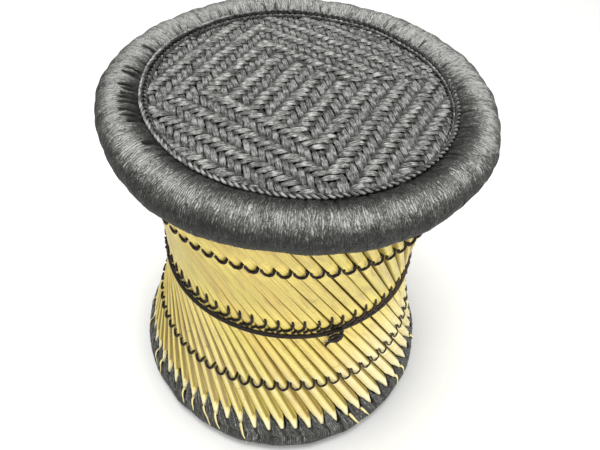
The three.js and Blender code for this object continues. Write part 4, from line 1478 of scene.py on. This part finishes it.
class STOOL_OT_border(bpy.types.Operator):
    """Builds the two border cords over the edge of the weave, laid in opposite hands so that they look
    braided"""

    bl_idname = "stool.border"
    bl_label = "Border"

    def execute(self, context):
        s = context.scene.stool_seat
        draws = np.random.default_rng(61)
        steps = 1440
        bearing = np.arange(steps) * TURN / steps
        flats = sum(
            depth * MM * ring_swell(bearing, middle, reach) for middle, reach, depth in BORDER_FLATS
        )
        for name, node_name, hand in (
            ("outer_border", "outer_border_cord", 1), ("inner_border", "inner_border_cord", -1)
        ):
            low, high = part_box(node_name)
            wander = 0.4 * MM * ripple(draws, bearing, 0, 3, 14, 8, 0)
            radius = high.x - s.border_cord / 2 - flats + wander
            path = ring_path(radius, bearing, (low.z + high.z) / 2)
            heap = Heap()
            laid_cord(heap, path, path * LEVEL, s.border_cord, 13 * MM, hand, draws)
            material = material_called("weft_polypropylene_twine")
            heap.finished(name + "_plies", "wound_cord", material, node_name)
        return {"FINISHED"}


# Stage


def soft_light(name, size, power, place, target):
    """A white square soft box that looks at a point. size is in metres and power in watts."""
    data = bpy.data.lights.new(name, "AREA")
    data.shape, data.size, data.energy = "SQUARE", size, power
    light = bpy.data.objects.new(name, data)
    bpy.context.scene.collection.objects.link(light)
    light.location = place
    light.rotation_euler = (Vector(target) - Vector(place)).to_track_quat("-Z", "Y").to_euler()


class STOOL_OT_stage(bpy.types.Operator):
    """Sets up the paper floor, the soft lights and the camera"""

    bl_idname = "stool.stage"
    bl_label = "Stage"

    def execute(self, context):
        deselect_all()
        bpy.ops.mesh.primitive_plane_add(size=16, location=(0, 0, 0))
        floor = context.active_object
        floor.name = "paper_floor"
        floor.data.materials.append(material_called("seamless_paper"))
        deselect_all()
        # A soft box overhead, a weaker one at the front right, and a white room
        soft_light("key_softbox", size=1.5, power=55, place=(-0.2, -0.1, 2.3), target=(0, 0, 0.3))
        soft_light("front_right_fill", size=1.5, power=36, place=(1.2, -2.1, 0.4), target=(0, 0, 0.1))
        context.scene.view_settings.view_transform = "Standard"
        world = bpy.data.worlds.new("studio")
        context.scene.world = world
        world.use_nodes = True
        background = world.node_tree.nodes["Background"]
        background.inputs["Color"].default_value = (1, 1, 1, 1)
        background.inputs["Strength"].default_value = 0.55
        # The camera stands where a fit to the photograph put it: its place, and in radians how far it looks
        # down, to the right of straight ahead, and leans.
        place, pitch, yaw, roll = (0, -0.509, 0.7556), 0.8116, 0.0235, 0.0984
        level = math.cos(pitch)
        forward = Vector((math.sin(yaw) * level, math.cos(yaw) * level, -math.sin(pitch)))
        right = Vector((math.cos(yaw), -math.sin(yaw), 0))
        up = right.cross(forward)
        side = math.cos(roll) * right + math.sin(roll) * up
        top = -math.sin(roll) * right + math.cos(roll) * up
        data = bpy.data.cameras.new("photo_camera")
        data.lens, data.sensor_width, data.sensor_fit = 36, 36, "HORIZONTAL"
        data.clip_start = 0.01
        camera = bpy.data.objects.new("photo_camera", data)
        context.scene.collection.objects.link(camera)
        axes = Matrix((side, top, -forward)).transposed().to_4x4()
        camera.matrix_world = Matrix.Translation(place) @ axes
        context.scene.camera = camera
        return {"FINISHED"}


# Panel and registration

OPERATORS = (
    STOOL_OT_stage,
    STOOL_OT_outer_canes,
    STOOL_OT_inner_canes,
    STOOL_OT_ties,
    STOOL_OT_waist_band,
    STOOL_OT_waist_knot,
    STOOL_OT_rim,
    STOOL_OT_base,
    STOOL_OT_grass,
    STOOL_OT_seat,
    STOOL_OT_border,
)


class STOOL_PT_pieces(bpy.types.Panel):
    """Lists the pieces of the stool"""

    bl_idname = "STOOL_PT_pieces"
    bl_label = "Mudda Stool"
    bl_space_type = "VIEW_3D"
    bl_region_type = "UI"
    bl_category = "Stool"

    def draw(self, context):
        for operator in OPERATORS:
            self.layout.operator(operator.bl_idname)


GROUPS = (WallSizes, RingSizes, SeatSizes, StoolColours)
CLASSES = (*GROUPS, *OPERATORS, STOOL_PT_pieces)


def register():
    for each in CLASSES:
        bpy.utils.register_class(each)
    bpy.types.Scene.stool_wall = PointerProperty(type=WallSizes)
    bpy.types.Scene.stool_rings = PointerProperty(type=RingSizes)
    bpy.types.Scene.stool_seat = PointerProperty(type=SeatSizes)
    bpy.types.Scene.stool_colours = PointerProperty(type=StoolColours)


def unregister():
    del bpy.types.Scene.stool_colours
    del bpy.types.Scene.stool_seat
    del bpy.types.Scene.stool_rings
    del bpy.types.Scene.stool_wall
    for each in reversed(CLASSES):
        bpy.utils.unregister_class(each)


def main():
    register()
    bpy.ops.stool.stage()
    bpy.ops.stool.outer_canes()
    bpy.ops.stool.inner_canes()
    bpy.ops.stool.ties()
    bpy.ops.stool.waist_band()
    bpy.ops.stool.waist_knot()
    bpy.ops.stool.rim()
    bpy.ops.stool.base()
    bpy.ops.stool.grass()
    bpy.ops.stool.seat()
    bpy.ops.stool.border()


if __name__ == "__main__":
    main()
